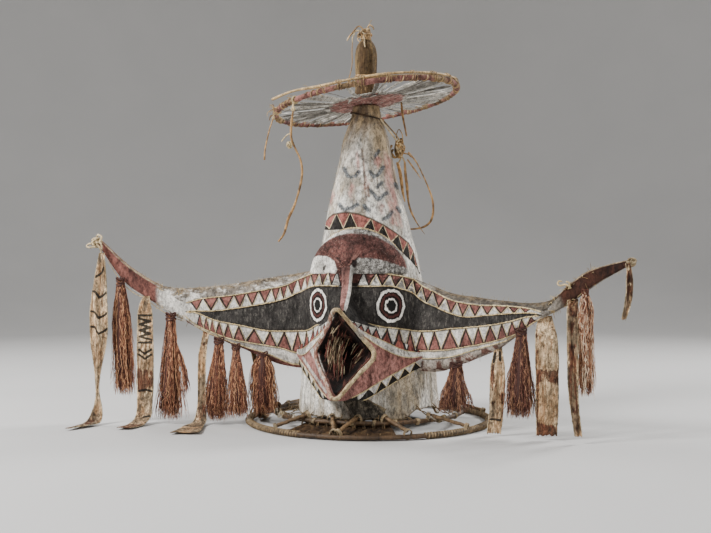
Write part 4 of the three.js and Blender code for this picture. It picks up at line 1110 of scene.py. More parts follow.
def laid_on_jaw(line, count, lift):
    """A line of the picture laid on the jaws, in mm."""
    found = []
    for u, v in smooth_path(line, count):
        ray = pixel_ray(u, v)
        place, normal, index, gap = jaw_tree.ray_cast(Vector(EYE), Vector(ray))
        if place is None:
            tries = [jaw_tree.find_nearest(Vector(EYE + ray * reach)) for reach in np.linspace(1.7, 2.2, 50)]
            place, normal, index, gap = min(tries, key=lambda found: found[3])
        found.append((np.array(place) - ZERO) * 1000 + np.array(normal) * lift)
    return np.array(found)


for line, thick, lift in (
    (BEAK_WHITE_LOW[2:-1], 0.9, 0.6), (BEAK_WHITE_TOP[2:-1], 0.8, 0.5), (JAW_TOP[1:-1], 1.1, 0.7),
    (JAW_LOW[2:-1], 1.1, 0.4),
):
    laid = laid_on_jaw(line, 70, lift)
    steps = np.linalg.norm(np.diff(laid, axis=0), axis=1)
    laid = laid[np.concatenate([[True], steps < 12])]
    laid = smooth_path(laid[::4], 60)
    for side in (1, -1):
        trims.tubes(laid * [side, 1, 1], thick, 6, tone=0.35)

# Flanks of the jaw's teeth in thin cane
for apex in (380.9, 392.4, 404.4, 415.1):
    for foot in (-5.6, 5.6):
        top_v, low_v = between(np.array([apex, apex + foot]), JAW_TOP, JAW_EDGE)
        middle = (apex + foot / 2, (top_v[0] + low_v[1]) / 2)
        laid = laid_on_jaw([(apex, top_v[0]), middle, (apex + foot, low_v[1])], 6, 0.5)
        for side in (1, -1):
            trims.tubes(laid * [side, 1, 1], 0.6, 4, tone=0.2)

# Rolled rim of the mouth
SNOUT_TOP, SNOUT_SIDE, SNOUT_TIP = (0, -220, 238), (62, -165, 148), (0, -235, 68)
corners = np.array([SNOUT_TOP, SNOUT_SIDE, SNOUT_TIP, (-62, -165, 148)], float)
rim_knots = []
for a, b in zip(corners, np.roll(corners, -1, 0)):
    for t in (0.07, 0.37, 0.63, 0.93):
        rim_knots.append((a + (b - a) * t) * [0.97, 1, 1] + [0, -4.5, 0])
rim_knots.append(rim_knots[0])
rim_path = smooth_path(rim_knots, 241)[:-1]
to_middle = unit(np.array([0, -196, 152]) - rim_path)
bulge = 3.7 + 0.8 * rough(rim_path / 1000, 30, 5) + 0.5 * rough(rim_path / 1000, 90, 7)
bulge = bulge - 1.0 * ease(-rim_path[:, 0], 5, 30)
rim = Heap()
rim.tubes(rim_path[None], bulge[None], 14, flat=1.15, normal=to_middle[None], closed=True,
          far=np.repeat(ease(-rim_path[:, 0], 0, 16), 14))


def rim_material():
    p = Paint("rolled_cloth")
    color = worn(p, "c4b08a", "7f684a", 0.40, 0.68, 36)
    color = p.mix(p.fade(p.noise(18, 4, 0.7), 0.52, 0.64), color, worn(p, "8e877c", "4b443b", 0.4, 0.7, 60))
    color = p.dust(color, "8d554b", 0.7, 0.60, 0.68, 22, 4, 0.7, (1.4, 1, 1))
    color = p.mix(p.times(p.value("far"), 0.75), color, worn(p, "9c6c62", "ded6cb", 0.48, 0.6, 90, (1, 1, 0.2)))
    color = p.dust(color, "4b3a2b", 0.6, 0.52, 0.62, 260, 5, 0.8)
    return p.done(color, p.bark(EVEN), 0.0018)


rim.piece("mouth_roll", rim_material(), ["mouth_rim"], "pale_cloth")

# Slivers of cane and bark that fill the throat
reeds = Heap()
paths, thicks, tones = [], [], []
mouth_u, mouth_v = pixels_of(rim_path)
mouth_outline = list(zip(mouth_u[::6], mouth_v[::6]))
middle_u, middle_v = float(mouth_u.mean()), float(mouth_v.mean())
REEDS = 170
while len(paths) < REEDS:
    u, v = rng.uniform(mouth_u.min(), mouth_u.max()), rng.uniform(mouth_v.min(), mouth_v.max())
    void = math.hypot((u - middle_u - 5) / 7, (v - middle_v - 8) / 11)
    if area_gap(np.array(u), np.array(v), mouth_outline) > -4.0 or void < 1:
        continue
    place = jaw_tree.ray_cast(Vector(EYE), Vector(pixel_ray(u, v)))[0]
    if place is None:
        continue
    low = (np.array(place) - ZERO) * 1000 - AHEAD * 2
    slope = 0.32 + 0.4 * (u - middle_u) / 24 + 0.35 * (v < middle_v - 20) - 0.3 * (v > middle_v + 18)
    slope += rng.normal(0, 0.10)
    size = rng.uniform(14, 44)
    top = low + size * unit(RIGHT * math.sin(slope) + np.array([0, 0, math.cos(slope)])) - AHEAD * rng.uniform(4, 26)
    tip_u, tip_v = pixels_of(top[None])
    if area_gap(tip_u, tip_v, mouth_outline)[0] > -3.0 or top[1] < -218 + 62 * abs(top[0]) / 62:
        continue
    bend = (low + top) / 2 + rng.normal(0, 0.5, 3)
    paths.append(smooth_path([low, bend, top], 6))
    thicks.append(np.linspace(1.2, 0.6, 6) * rng.uniform(0.6, 1.3))
    tones.append(rng.uniform(0, 1) ** 1.5 - 0.35 * (v < middle_v - 22) - 0.2 * (v > middle_v + 22))
reeds.tubes(np.array(paths), np.array(thicks), 5, tone=np.array(tones), flat=1.5)


def reed_material():
    p = Paint("reeds", 0.3)
    tone = p.value("tone")
    color = "7f4d43"
    for low, paint in ((0.12, "4f3d30"), (0.36, "a08a6c"), (0.72, "cfbd9c")):
        color = p.mix(p.fade(tone, low, low + 0.04), color, paint)
    color = p.dust(color, "2c1f16", 0.5, 0.45, 0.65, 200, 4, 0.7)
    return p.done(color, p.noise(600, 3, 0.7, (1, 1, 0.3)), 0.0006)


reeds.piece("throat_reeds", reed_material(), ["mouth_reeds"], "cane")

# Nose ridge, with its white border on one side and painted shade darkening its top end
nose_line = smooth_path([(-3, -142, 311), (-2.5, -147, 290), (-1.7, -153, 272), (1.5, -168, 261), (4.5, -184, 251),
                         (7, -200, 239), (8.5, -211, 229)], 60)
nose_side = np.broadcast_to([1.0, 0, 0], nose_line.shape)
nose_wide = np.interp(np.linspace(0, 1, 60), [0, 0.03, 0.25, 0.6, 0.9, 1], [2, 12.0, 10.0, 9.0, 7.5, 5.0])
nose = Heap()
nose_points, nose_faces, nose_run = sweep(nose_line[None], nose_wide[None] * 0.62, 20, 1.6, nose_side[None])
nose_points += (rough(nose_points / 1000, 60, 3) * 0.8)[:, None] * [0, 1, 0.3]
nose.put(nose_points, nose_faces, side=nose_points[:, 0] - np.repeat(nose_line[:, 0], 20), down=nose_run / 1000)


def nose_material():
    p = Paint("nose_cloth")
    color = worn(p, "ab7b72", "6f4840", 0.40, 0.66, 40)
    ragged = p.jitter(3.0, 180, 5, 0.8)
    white = white_cloth(p)
    drift = p.add(p.add(p.value("side"), ragged), p.times(p.value("down"), 45.0))
    color = p.mix(p.fade(drift, 6.6, 7.4), color, white)
    # Darker all along, and darkest at the top end as painted shade
    color = p.shade(color, p.fade(p.value("down"), 0.004, 0.040, 0.34, 0.72))
    return p.done(color, p.bark((1, 1, 0.4)), 0.0016)


nose.piece("nose_cloth", nose_material(), ["nose_ridge"], "pink_cloth")

# Loose dark flap below the jaw
FLAP_ROWS, FLAP_COLUMNS = 26, 50
flap_share = np.linspace(0, 1, FLAP_ROWS)[:, None]
flap_across = np.linspace(0, 1, FLAP_COLUMNS)
flap_angle = np.radians(-6.5 + 6.5 * flap_share + (20 + 8.5 * flap_share) * flap_across)
flap_edge = np.sqrt(np.maximum(1 - (2 * flap_across - 1) ** 6, 0))
flap_hang = np.maximum(flap_edge, 0.55) * (1 + 0.05 * np.sin(flap_across * 9) + 0.03 * np.sin(flap_across * 31))
flap_z = 64 - 38 * flap_hang * flap_share
flap_out = along(HELMET_RADII, flap_z) + 11 - 3 * flap_share
flap_skin = np.stack([flap_out * np.sin(flap_angle), -flap_out * np.cos(flap_angle), flap_z], -1)
flap_skin[..., 1] += rough(flap_skin / 1000, 35, 5) * 3
flap_under = flap_skin + unit(flap_skin * [1, 1, 0]) * -1.6
flap_rim = np.minimum(1.2 - flap_share, np.minimum(flap_across, 1 - flap_across) * 2.2)


def flap_material():
    p = Paint("dark_flap")
    color = worn(p, "5c564c", "2a2621", 0.40, 0.62, 60)
    color = p.dust(color, "8d8270", 0.7, 0.50, 0.60, 140, 5, 0.8)
    color = p.mix(p.fade(p.add(p.value("rim"), p.jitter(0.4, 90, 4, 0.7)), 0.14, 0.05), color,
                  "9c8a6c")
    return p.done(color, p.bark(), 0.0014)


flap_piece = mesh_piece(
    "flap_cloth", np.concatenate([flap_skin, flap_under[::-1]]), sheet_faces(FLAP_ROWS, FLAP_COLUMNS),
    {"rim": doubled(flap_rim)}, flap_material(), ["chin_flap"])
trims.piece("trim_canes", PALE_CANE, (), "cane")


# Strips of plain barkcloth that hang from the horns and the lower edge
def strip_material():
    p = Paint("strip_cloth")
    color = p.mix(p.fade(p.noise(30, 5, 0.7, (1, 1, 0.35)), 0.38, 0.66), "e2c8a2", "b08b64")
    color = p.dust(color, "8c6644", 0.7, 0.46, 0.58, 150, 5, 0.75, (1, 1, 0.12), 0.3)
    color = p.dust(color, "75543a", 0.5, 0.46, 0.58, 260, 4, 0.8, (1, 1, 0.08))
    ragged = p.jitter(3.4, 110, 6, 0.8, (1, 1, 0.14))
    color = p.dust(color, "6b5238", 0.75, 0.50, 0.66, 24, 6, 0.8, (1, 1, 0.4), 0.5)
    mottle = p.jitter(3.4, 38, 6, 0.8, (1, 1, 0.35), 0.4)
    grey = p.fade(p.add(p.value("grey"), mottle), 0.32, 0.48)
    color = p.mix(p.times(grey, 0.8), color, worn(p, "4d4034", "82715b", 0.4, 0.7, 120, (1, 1, 0.3)))
    stain = p.fade(p.add(p.value("stain"), ragged), 0.40, 0.60)
    color = p.mix(p.times(stain, 0.9), color, worn(p, "603727", "381e16", 0.42, 0.64, 90, (1, 1, 0.3)))
    ink = p.add(p.value("ink"), p.jitter(3.0, 260, 4, 0.8))
    color = p.mix(p.times(p.fade(ink, 0.4, -0.4), 0.95), color, worn(p, "23201c", "4d473d", 0.55, 0.8, 200))
    color = p.mix(p.times(p.fade(p.value("edge"), 1.5, 0.6), 0.6), color, "d9c8a2")
    color = p.shade(color, p.fade(p.noise(120, 6, 0.85, (1, 1, 0.22), 0.5), 0.42, 0.58, 0.55, 1.22))
    return p.done(color, p.bark((1, 1, 0.15)), 0.0026, grime=0.7)


STRIP_CLOTH = strip_material()


def soft_box(value, low, high, soft):
    return ease(value, low - soft, low + soft) * (1 - ease(value, high - soft, high + soft))


ACROSS = 17  # points across a strip
HALF_SHEET = 0.55


def ribbon(name, points, widths, turn, twist=0, *, folds, waves, ink=(), stains, greys=(), seed):
    """A strip as drawn in the solids, with folds, marks in (across, down) mm and stains."""
    length = length_of(smooth_path(points, 60))
    steps = int(length / 2.6)
    line = smooth_path(points, steps)
    t = np.linspace(0, 1, steps)
    down = t * length
    tangent = unit(np.gradient(line, axis=0))
    angle = np.radians(turn + twist * t)
    across = np.stack([np.cos(angle), np.sin(angle), 0 * t], -1)
    out = unit(np.cross(across, tangent))
    s = np.linspace(-0.5, 0.5, ACROSS)
    wide = along(widths, t)
    ragged = rng.normal(0, 0.25, (steps, 2)) + rough(np.stack([t * 9, 0 * t, 0 * t + seed], -1), 1.0, seed)[:, None]
    edges = np.stack([-wide / 2, wide / 2], -1) + ragged * [[-0.7, 0.7]]
    place = edges[:, :1] * (0.5 - s) + edges[:, 1:] * (0.5 + s)
    strip_noise = np.stack(np.broadcast_arrays(s * 1.1, down[:, None] / 60, float(seed)), -1)
    lift = folds * np.sin(2 * math.pi * (s * 1.6 + 0.3 * np.sin(down[:, None] / 47 + seed)))
    lift = lift * np.minimum(wide / 30, 1)[:, None] + waves * rough(strip_noise, 1.4, seed)
    lift = lift + waves * 0.5 * rough(strip_noise, 4.5, seed + 3)
    lying = ease(line[:, 2], 22, 8)[:, None]
    lift = lift * (1 - 0.6 * lying)
    front = line[:, None] + across[:, None] * place[..., None] + out[:, None] * lift[..., None]
    tail = rng.normal(0, 1.3, ACROSS)
    for row in (-1, -2, -3):
        front[row] += tangent[row] * (tail * (0.33 * (4 + row)))[:, None]
    both_sides = np.concatenate([front + out[:, None] * HALF_SHEET, (front - out[:, None] * HALF_SHEET)[:, ::-1]], 1)
    both_sides[..., 2] = np.maximum(both_sides[..., 2], 0.4 + 0.8 * (rough(both_sides / 1000, 60, 2) + 1))
    d = down[:, None] * np.ones(ACROSS)
    ink_gap = marks(place, d, lines=ink, half=2.3)

    def patches(boxes, soft_down, soft_across):
        return sum((amount * soft_box(d, a, b, soft_down) * soft_box(place, c, e, soft_across)
                    for a, b, c, e, amount in boxes), 0 * place)

    values = {"stain": patches(stains, 5, 3), "grey": patches(greys, 14, 4),
              "edge": np.minimum(place - edges[:, :1], edges[:, 1:] - place)}
    values = {key: np.concatenate([value, value[:, ::-1]], 1) for key, value in values.items()}
    values["ink"] = np.concatenate([np.full_like(ink_gap, FAR), ink_gap[:, ::-1]], 1)
    round_strip = 2 * ACROSS
    faces = grid_faces(steps, round_strip, wrap_columns=True).tolist()
    for first in (0, (steps - 1) * round_strip):
        last = first + round_strip - 1
        faces += [[first + i, first + i + 1, last - 1 - i, last - i] for i in range(ACROSS - 1)]
    piece = mesh_piece(name + "_cloth", both_sides, faces, values, STRIP_CLOTH, [name])


def chevron(d, half, deep):
    return [(-half, d - deep * 0.6), (-half * 0.55, d - deep * 0.5), (0, d + deep * 0.5), (half * 0.6, d + deep * 0.1),
            (half, d - deep * 0.3)]


ribbon("strip_1", [
    (-502, -176, 338), (-502, -186, 237), (-503, -186, 146), (-506, -186, 79), (-504, -188, 30), (-505, -200, 8),
    (-510, -236, 4), (-518, -276, 4),
], [(0, 12), (0.25, 37), (0.42, 34), (0.66, 8), (0.84, 30), (1, 8)], 4, 12, folds=2.2, waves=2.2, ink=[
    chevron(83, 15, 11), chevron(123, 17, 12), chevron(154, 17, 13), [(-9, 48), (4, 38), (6, 30)],
], stains=[(345, 372, -6, 9, 0.45), (330, 352, -14, 2, 0.5), (392, 440, -12, 8, 0.5)],
       greys=[(318, 440, -18, 18, 0.60), (60, 80, -12, 0, 0.35), (0, 24, -9, 9, 0.4)], seed=1)
ribbon("strip_2", [
    (-421, -143, 252), (-420, -150, 238), (-416, -158, 170), (-416, -158, 60), (-417, -164, 16), (-418, -190, 4),
    (-421, -238, 4),
], [(0, 14), (0.12, 32), (0.6, 34), (1, 28)], 6, folds=0.9, waves=1.4, ink=[
    [(-14, 40), (14, 40)], [(-13, 46), (12, 52), (-12, 58), (12, 64), (-12, 70), (12, 76), (-12, 82), (13, 88)],
    [(-14, 94), (14, 94)], [(-13, 108), (0, 116), (13, 107)], [(-13, 118), (0, 126), (13, 117)],
    [(-14, 190), (0, 187), (14, 190)], [(1, 242), (13, 240)],
], stains=[(146, 191, -18, 3, 0.86), (146, 184, 0, 18, 0.62), (270, 340, -18, 18, 0.74), (324, 340, -18, 18, 0.8)],
       greys=[(191, 262, -18, 18, 0.52), (0, 30, -4, 4, 0.7)], seed=2)
ribbon("strip_3", [
    (-307, -106, 184), (-307, -113, 170), (-307, -128, 130), (-307, -130, 40), (-306, -140, 9), (-302, -176, 4),
    (-290, -226, 4), (-284, -258, 4),
], [(0, 14), (0.3, 17), (0.5, 19), (0.8, 42), (1, 54)], 4, 10, folds=1.5, waves=1.5,
       stains=[(26, 34, -10, 10, 0.5), (152, 178, -12, 12, 0.45), (0, 8, -9, 9, 0.6)],
       greys=[(98, 240, -30, 30, 0.58), (255, 275, -30, 30, 0.75), (275, 330, -30, -14, 0.6), (275, 330, 10, 30, 0.6)],
       seed=3)
ribbon("strip_4", [
    (-220, -78, 144), (-218, -74, 130), (-213, -70, 86), (-207, -68, 40), (-206, -62, 9), (-212, -40, 4), (-219, 6, 4),
], [(0, 10), (0.4, 9), (0.7, 18), (1, 12)], 4, folds=1.0, waves=1.0,
       stains=[(60, 150, -9, 2, 0.6), (150, 215, -10, 10, 0.55)], greys=[(10, 215, -3, 9, 0.5)], seed=4)
ribbon("strip_5", [(275, -98, 162), (275, -102, 150), (276, -116, 120), (274, -116, 50), (269, -115, 5)],
       [(0, 14), (0.3, 27), (0.7, 27), (1, 26)], 8, folds=1.6, waves=1.6,
       ink=[[(-9, 135), (9, 137)], [(-5, 12), (-7, 30)], [(3, 10), (4, 26)]],
       stains=[(30, 62, -14, -5, 0.6), (60, 84, -12, 0, 0.45), (84, 100, 0, 13, 0.5), (102, 108, -13, 13, 0.55)],
       greys=[(0, 22, -12, 12, 0.55), (108, 140, -12, 12, 0.3)], seed=5)
ribbon("strip_6", [(362, -116, 222), (363, -121, 206), (367, -138, 170), (368, -138, 80), (367, -138, 9)],
       [(0, 24), (0.2, 40), (0.6, 41), (1, 38)], 8, folds=1.0, waves=1.2,
       stains=[(8, 225, -23, -15, 0.5), (100, 124, -23, 23, 0.74), (104, 134, 4, 23, 0.3), (198, 235, -23, 23, 0.85)],
       seed=6)
ribbon("strip_7", [(413, -138, 252), (413, -148, 238), (414, -160, 160), (416, -160, 80), (424, -160, 13)],
       [(0, 20), (0.5, 19), (1, 14)], 8, folds=2.0, waves=1.4,
       stains=[(40, 70, -4, 8, 0.55), (80, 205, -9, 7, 0.52), (0, 34, -10, 10, 0.6), (210, 238, -4, 8, 0.55)],
       greys=[(20, 240, -12, 12, 0.60)], seed=7)
ribbon("strip_8", [(509, -172, 317), (511, -176, 296), (511, -178, 270), (508, -178, 246), (501, -178, 220)],
       [(0, 9), (0.4, 13), (1, 9)], 8, 24, folds=2.2, waves=1.6,
       stains=[(0, 34, -8, 8, 0.62), (40, 88, -3, 7, 0.6)], greys=[(10, 90, -8, 8, 0.4)], seed=8)


# Tassels of shredded fibre
def fibre_material(name, dark, middle, bright):
    p = Paint(name, 0.3)
    tone = p.add(p.value("tone"), p.jitter(2.4, 170, 5, 0.8, (1, 1, 0.6)))
    color = p.mix(p.fade(tone, 0.15, 0.5), dark, middle)
    color = p.mix(p.fade(tone, 0.62, 0.95), color, bright)
    return p.done(color, p.noise(500, 3, 0.7), 0.0006, 0.55, 0.85, 0.2)


RED_FIBRE = fibre_material("red_fibre", "432720", "8e5a45", "dba97f")
PINK_FIBRE = fibre_material("pink_fibre", "4e2a1e", "b98462", "fbe6c8")
DARK_FIBRE = fibre_material("dark_fibre", "3a211b", "70463a", "b88b6a")


FLAT_TASSEL = 0.7  # depth of a tassel against its width
LOWEST_FIBRE = 1.5


def tassel(name, top, bottom, height, low, wide, spread, count, material, seed, lock=None):
    """Fibres from a bound top to a ragged foot; a lock is a bundle that strays out of it."""
    local = np.random.default_rng(100 + seed)
    ends = np.array([(*top, height), (*bottom, low)], float)
    tall = height - low
    steps = max(int(tall / 7.5), 10)

    def centre(t):
        return ends[0] + (ends[1] - ends[0]) * t[..., None]

    def width(t):
        return wide * (0.34 + 0.66 * ease(t, 0.0, spread) ** 0.8)

    finish = local.uniform(0.78, 1.0, count) ** 0.6
    start = np.where(local.random(count) < 0.2, local.uniform(0.1, 0.5, count), 0.02)
    t = start[:, None] + np.linspace(0, 1, steps) * (finish - start)[:, None]
    share = np.sqrt(local.uniform(0.12, 1.0, count))[:, None]
    around = local.uniform(0, 2 * math.pi, count)[:, None] + 0.5 * (t - 0.5) * local.normal(0, 1, (count, 1))
    locks = 0.16 * np.sin(around * 5 + seed) + 0.08 * np.sin(9 * t + around * 3)
    flare = 1 + 0.34 * t ** 2 * local.normal(0, 1, (count, 1))
    reach = width(t) * share * (0.92 + locks) * flare
    crimp = 1.5 * np.sin(2 * math.pi * (t * tall / 17 + local.random((count, 1))))
    crimp += local.normal(0, 1.5, (count, steps))
    path = centre(t)
    path[..., 0] += np.cos(around) * reach - np.sin(around) * crimp
    path[..., 1] += (np.sin(around) * reach + np.cos(around) * crimp) * FLAT_TASSEL
    path[..., 2] = np.maximum(path[..., 2], LOWEST_FIBRE)
    thick = 0.78 * local.uniform(0.55, 1.2, (count, 1)) * (1 - 0.35 * np.linspace(0, 1, steps))
    heap = Heap()
    heap.tubes(path, thick, 3, tone=np.clip(local.normal(0.45, 0.36, count) + 0.12 * (share[:, 0] - 0.7), 0, 1))
    stray = 60
    t = np.linspace(0.2, 1, 12) * local.uniform(0.6, 1.04, (stray, 1))
    around = local.uniform(0, 2 * math.pi, (stray, 1))
    reach = width(np.minimum(t, 1)) * (0.9 + 0.75 * t ** 2 * local.random((stray, 1)))
    path = centre(t)
    path[..., 0] += np.cos(around) * reach + local.normal(0, 1.0, (stray, 12))
    path[..., 1] += np.sin(around) * reach * FLAT_TASSEL
    path[..., 2] = np.maximum(path[..., 2], LOWEST_FIBRE)
    heap.tubes(path, 0.38, 3, tone=local.uniform(0.4, 1, stray))
    if lock:
        s = np.linspace(0, 1, 14)[:, None]
        for i in range(46):
            side = local.normal(0, 1, 3) * [2.6, 2.2, 7]
            line = np.array(lock[0]) * (1 - s) + np.array(lock[1]) * s + side * (0.3 + 0.7 * s)
            line[:, 0] += 5 * np.sin(s[:, 0] * 3.1) + 0.8 * np.sin(s[:, 0] * 22 + i)
            heap.tubes(line, 0.7, 3, tone=local.uniform(0, 1))
    # A solid core in the darkest fibre tone: painted shade for the shadowed inside of the bundle
    t = np.linspace(0.0, 0.9, 16)
    core = centre(t)
    heap.tubes(core, width(t) * 0.66 * (1 - 0.5 * ease(t, 0.75, 0.9)), 12, tone=-0.4)
    turn_at = np.linspace(0, 2 * math.pi, 24, endpoint=False)
    for k, level in enumerate((0.015, 0.04, 0.065)):
        ring = centre(np.full(24, level)) + spoke(turn_at, 2.5 * np.sin(turn_at * 2 + k)) * [
            wide * 0.40, wide * 0.40 * FLAT_TASSEL, 1]
        heap.tubes(ring[None], 1.7, 6, tone=-0.1, closed=True)
    heap.piece(name + "_fibre", material, [name], "fibre")


# Top and foot in (x, y), height of both, half width, where it is widest, fibres, material and lock
for index, (top, foot, *shape) in enumerate((
    ((-470, -160), (-465, -150), 290, 53, 20, 0.45, 360, RED_FIBRE),
    ((-370, -138), (-370, -140), 220, 5, 25, 0.95, 360, RED_FIBRE, ((-364, -138, 165), (-336, -138, 66))),
    ((-276, -116), (-280, -124), 171, 5, 24, 0.9, 330, RED_FIBRE),
    ((-243, -110), (-236, -118), 158, 12, 20, 0.9, 280, RED_FIBRE),
    ((-191, -99), (-189, -96), 142, 18, 25, 0.3, 380, RED_FIBRE),
    ((196, -99), (191, -88), 131, 36, 28, 0.9, 260, DARK_FIBRE),
    ((320, -124), (317, -128), 199, 34, 24, 0.8, 340, DARK_FIBRE),
    ((435, -150), (436, -140), 271, 79, 13, 0.2, 190, PINK_FIBRE),
), 1):
    tassel(f"tassel_{index}", top, foot, *shape[:6], index, *shape[6:])


# Crown: hub of cloth, narrow slats out to the rim, the wrapped rim and the cane on it
def turned_about(axis, degrees):
    c, s = math.cos(math.radians(degrees)), math.sin(math.radians(degrees))
    return np.array({
        "x": [[1, 0, 0], [0, c, -s], [0, s, c]], "y": [[c, 0, s], [0, 1, 0], [-s, 0, c]],
        "z": [[c, -s, 0], [s, c, 0], [0, 0, 1]],
    }[axis])


CROWN_FRAME = turned_about("z", 16) @ turned_about("x", -3) @ turned_about("y", -8.5)


DISC_MIDDLE = np.array([LEAN, 0, 641])
DISC_RADIUS, RING_RADIUS, HOOP_RADIUS = 184, 186, 240


def crown_at(points):
    return np.asarray(points, float) @ CROWN_FRAME.T + DISC_MIDDLE


def polar(degrees, radius, height):
    a = np.radians(np.asarray(degrees, float))
    return np.stack(np.broadcast_arrays(radius * np.cos(a), radius * np.sin(a), height), -1)


def coil(middle, out, winds, radius, height):
    """Points round a middle line: radius along out, height upwards."""
    return middle + out * np.cos(winds)[:, None] * radius + np.array([0, 0, 1.0]) * np.sin(winds)[:, None] * height


crown = Heap()
hub_turn = np.linspace(-180, 180, 161)[:-1]
hub_wave = polar(hub_turn, 1.0, 0.0)
hub_edge = 85 + 5 * rough(hub_wave, 3.0, 2) + 4 * rough(hub_wave, 14, 4)
hub_rows = np.linspace(0, 1, 16)[:, None]
HUB_HOLE = 17.2
hub_radius = HUB_HOLE + (hub_edge - HUB_HOLE) * hub_rows
hub = polar(hub_turn, hub_radius, 0.0)
hub[..., 2] -= 7 * ease(hub_radius, 34, 18)
hub[..., 2] += rough(hub / 1000, 35, 6) * 2.0 + rough(hub / 1000, 120, 1) * 0.8 - 0.5
hub_all = np.concatenate([hub - [0, 0, 0.9], (hub + [0, 0, 0.9])[::-1]])
crown.put(crown_at(hub_all), grid_faces(32, 160, wrap_rows=True, wrap_columns=True),
          pink=doubled(hub_edge - hub_radius), tone=0.0)
slat_angles = np.linspace(-180, 180, 93)[:-1] + rng.uniform(-1.2, 1.2, 92)
slat_angles = np.array([a for a in slat_angles if not (-122 < a < -52 and rng.random() < 0.62)])
slat_steps = 14
t = np.linspace(0, 1, slat_steps)
for a in slat_angles:
    short = rng.uniform(0.55, 0.9) if rng.random() < 0.12 else 1.0
    inner, outer_end = rng.uniform(66, 82), 84 + (177 - 84) * short
    radius = inner + (outer_end - inner) * t
    bend = a + rng.normal(0, 1.0) * t + rng.normal(0, 0.6) * np.sin(t * 5)
    height = rng.normal(0, 1.0) * np.sin(t * math.pi) - 1.2 + 2.2 * rng.random() * (1 - short) * t
    line = polar(bend, radius, height)
    lean_out = rng.normal(0, 0.35)
    flat_side = np.stack([-np.sin(np.radians(bend)), np.cos(np.radians(bend)), np.full(slat_steps, lean_out)], -1)
    half = np.interp(t, [0, 0.2, 0.9, 1], [1.8, 3.0, 4.6, 2.6]) * rng.uniform(0.7, 1.2)
    half = half * (1 + 0.12 * rng.normal(0, 1, slat_steps))
    crown.tubes(crown_at(line), half / 4.5, 8, flat=4.5, normal=flat_side @ CROWN_FRAME.T, tone=rng.random(), pink=-9.0)
for i in range(26):
    a, r = rng.uniform(-125, -55), rng.uniform(62, 92)
    line = polar(a + np.linspace(0, rng.uniform(-16, 16), 8), r + np.linspace(0, rng.uniform(-8, 14), 8),
                 -2 + rng.uniform(-5, 3) * np.linspace(0, 1, 8) ** 2)
    crown.tubes(crown_at(line), rng.uniform(0.6, 1.2) * np.linspace(1, 0.5, 8), 6, flat=4.0, tone=rng.random(),
                pink=-9.0)


def crown_material():
    p = Paint("crown_cloth")
    tone = p.value("tone")
    white = worn(p, "cfcabf", "8f8a80", 0.40, 0.66, 45)
    # Painted shade: slats of high tone turn dark grey, standing in for shadowed gaps between the slats
    white = p.mix(p.times(p.fade(tone, 0.58, 0.66), 0.75), white, "57524b")
    white = p.dust(white, "4d4a47", 0.6, 0.52, 0.62, 260, 5, 0.8)
    pink = worn(p, "a5766d", "704840", 0.40, 0.62, 38)
    pink = p.dust(pink, "cdbfb2", 0.6, 0.52, 0.62, 90, 5, 0.8)
    ragged = p.jitter(40.0, 110, 5, 0.8)
    color = p.mix(p.fade(p.add(p.value("pink"), ragged), 7.0, 10.0), white, pink)
    return p.done(color, p.bark(EVEN), 0.0014)


crown.piece("crown_slats", crown_material(), ["crown_disc"], "white_cloth")

ring_turn = np.linspace(-180, 180, 481)[:-1]
rim_wave = polar(ring_turn, 1.0, 0.0)
rim_line = polar(ring_turn, DISC_RADIUS + 0.8 * rough(rim_wave, 4, 1), 0.8 * rough(rim_wave, 5, 3))
rim_thick = 5.3 + 0.7 * rough(rim_wave, 16, 5) + 0.35 * np.sin(np.radians(ring_turn) * 74)
wrapped = Heap()
wrapped.tubes(crown_at(rim_line)[None], rim_thick[None], 14, closed=True, spiral=0.0)
for i in range(46):
    a = rng.uniform(-180, 180)
    winds = np.linspace(0, 2 * math.pi * rng.uniform(0.7, 1.6), 18)
    line = coil(polar(a + winds * 0.7, DISC_RADIUS, 0), polar(a + winds * 0.7, 1, 0), winds, 5.9, 5.9)
    wrapped.tubes(crown_at(line), 0.55, 5, flat=2.4, spiral=1.0, tone=rng.random())


def rim_wrap_material():
    p = Paint("wrapped_bark", 0.25)
    color = worn(p, "94655c", "543630", 0.38, 0.60, 40)
    color = p.mix(p.fade(p.noise(16, 4, 0.7), 0.48, 0.60), color, worn(p, "9a815e", "5a452e", 0.4, 0.6, 70))
    color = p.mix(p.times(p.value("spiral"), 0.8), color, "b59a70")
    color = p.dust(color, "4b3528", 0.6, 0.53, 0.63, 240, 5, 0.8)
    return p.done(color, p.bark(EVEN), 0.0014)


wrapped.piece("rim_wrapping", rim_wrap_material(), ["crown_rim"], "pink_cloth")

loose = Heap()
cane_knots = [tuple(polar(a, 185, 9.8)) for a in np.arange(-2, -119, -14.5)]
cane_knots += [(-140, -130, 14.8), (-184, -84, 15.8)]
cane_line = smooth_path(cane_knots, 150)
cane_line[:, 2] += 0.5 * np.sin(np.arange(150) / 9)
loose.tubes(crown_at(cane_line), 2.5 + 0.25 * np.sin(np.arange(150) / 5.5), 8, tone=0.25)
second = smooth_path([tuple(polar(a, 181, 7.0 + 1.5 * math.sin(a))) for a in np.arange(2, -100, -12.0)], 120)
loose.tubes(crown_at(second), 1.9, 7, tone=0.5)
for a in (-4, -19, -33, -48, -63, -79, -95, -108):
    winds = np.linspace(0, 2 * math.pi * 2.2, 36)
    line = coil(polar(a + winds * 0.25, DISC_RADIUS, 3.6), polar(a, 1, 0), winds, 7.2, 10.2)
    loose.tubes(crown_at(line), 0.8, 5, tone=0.7)
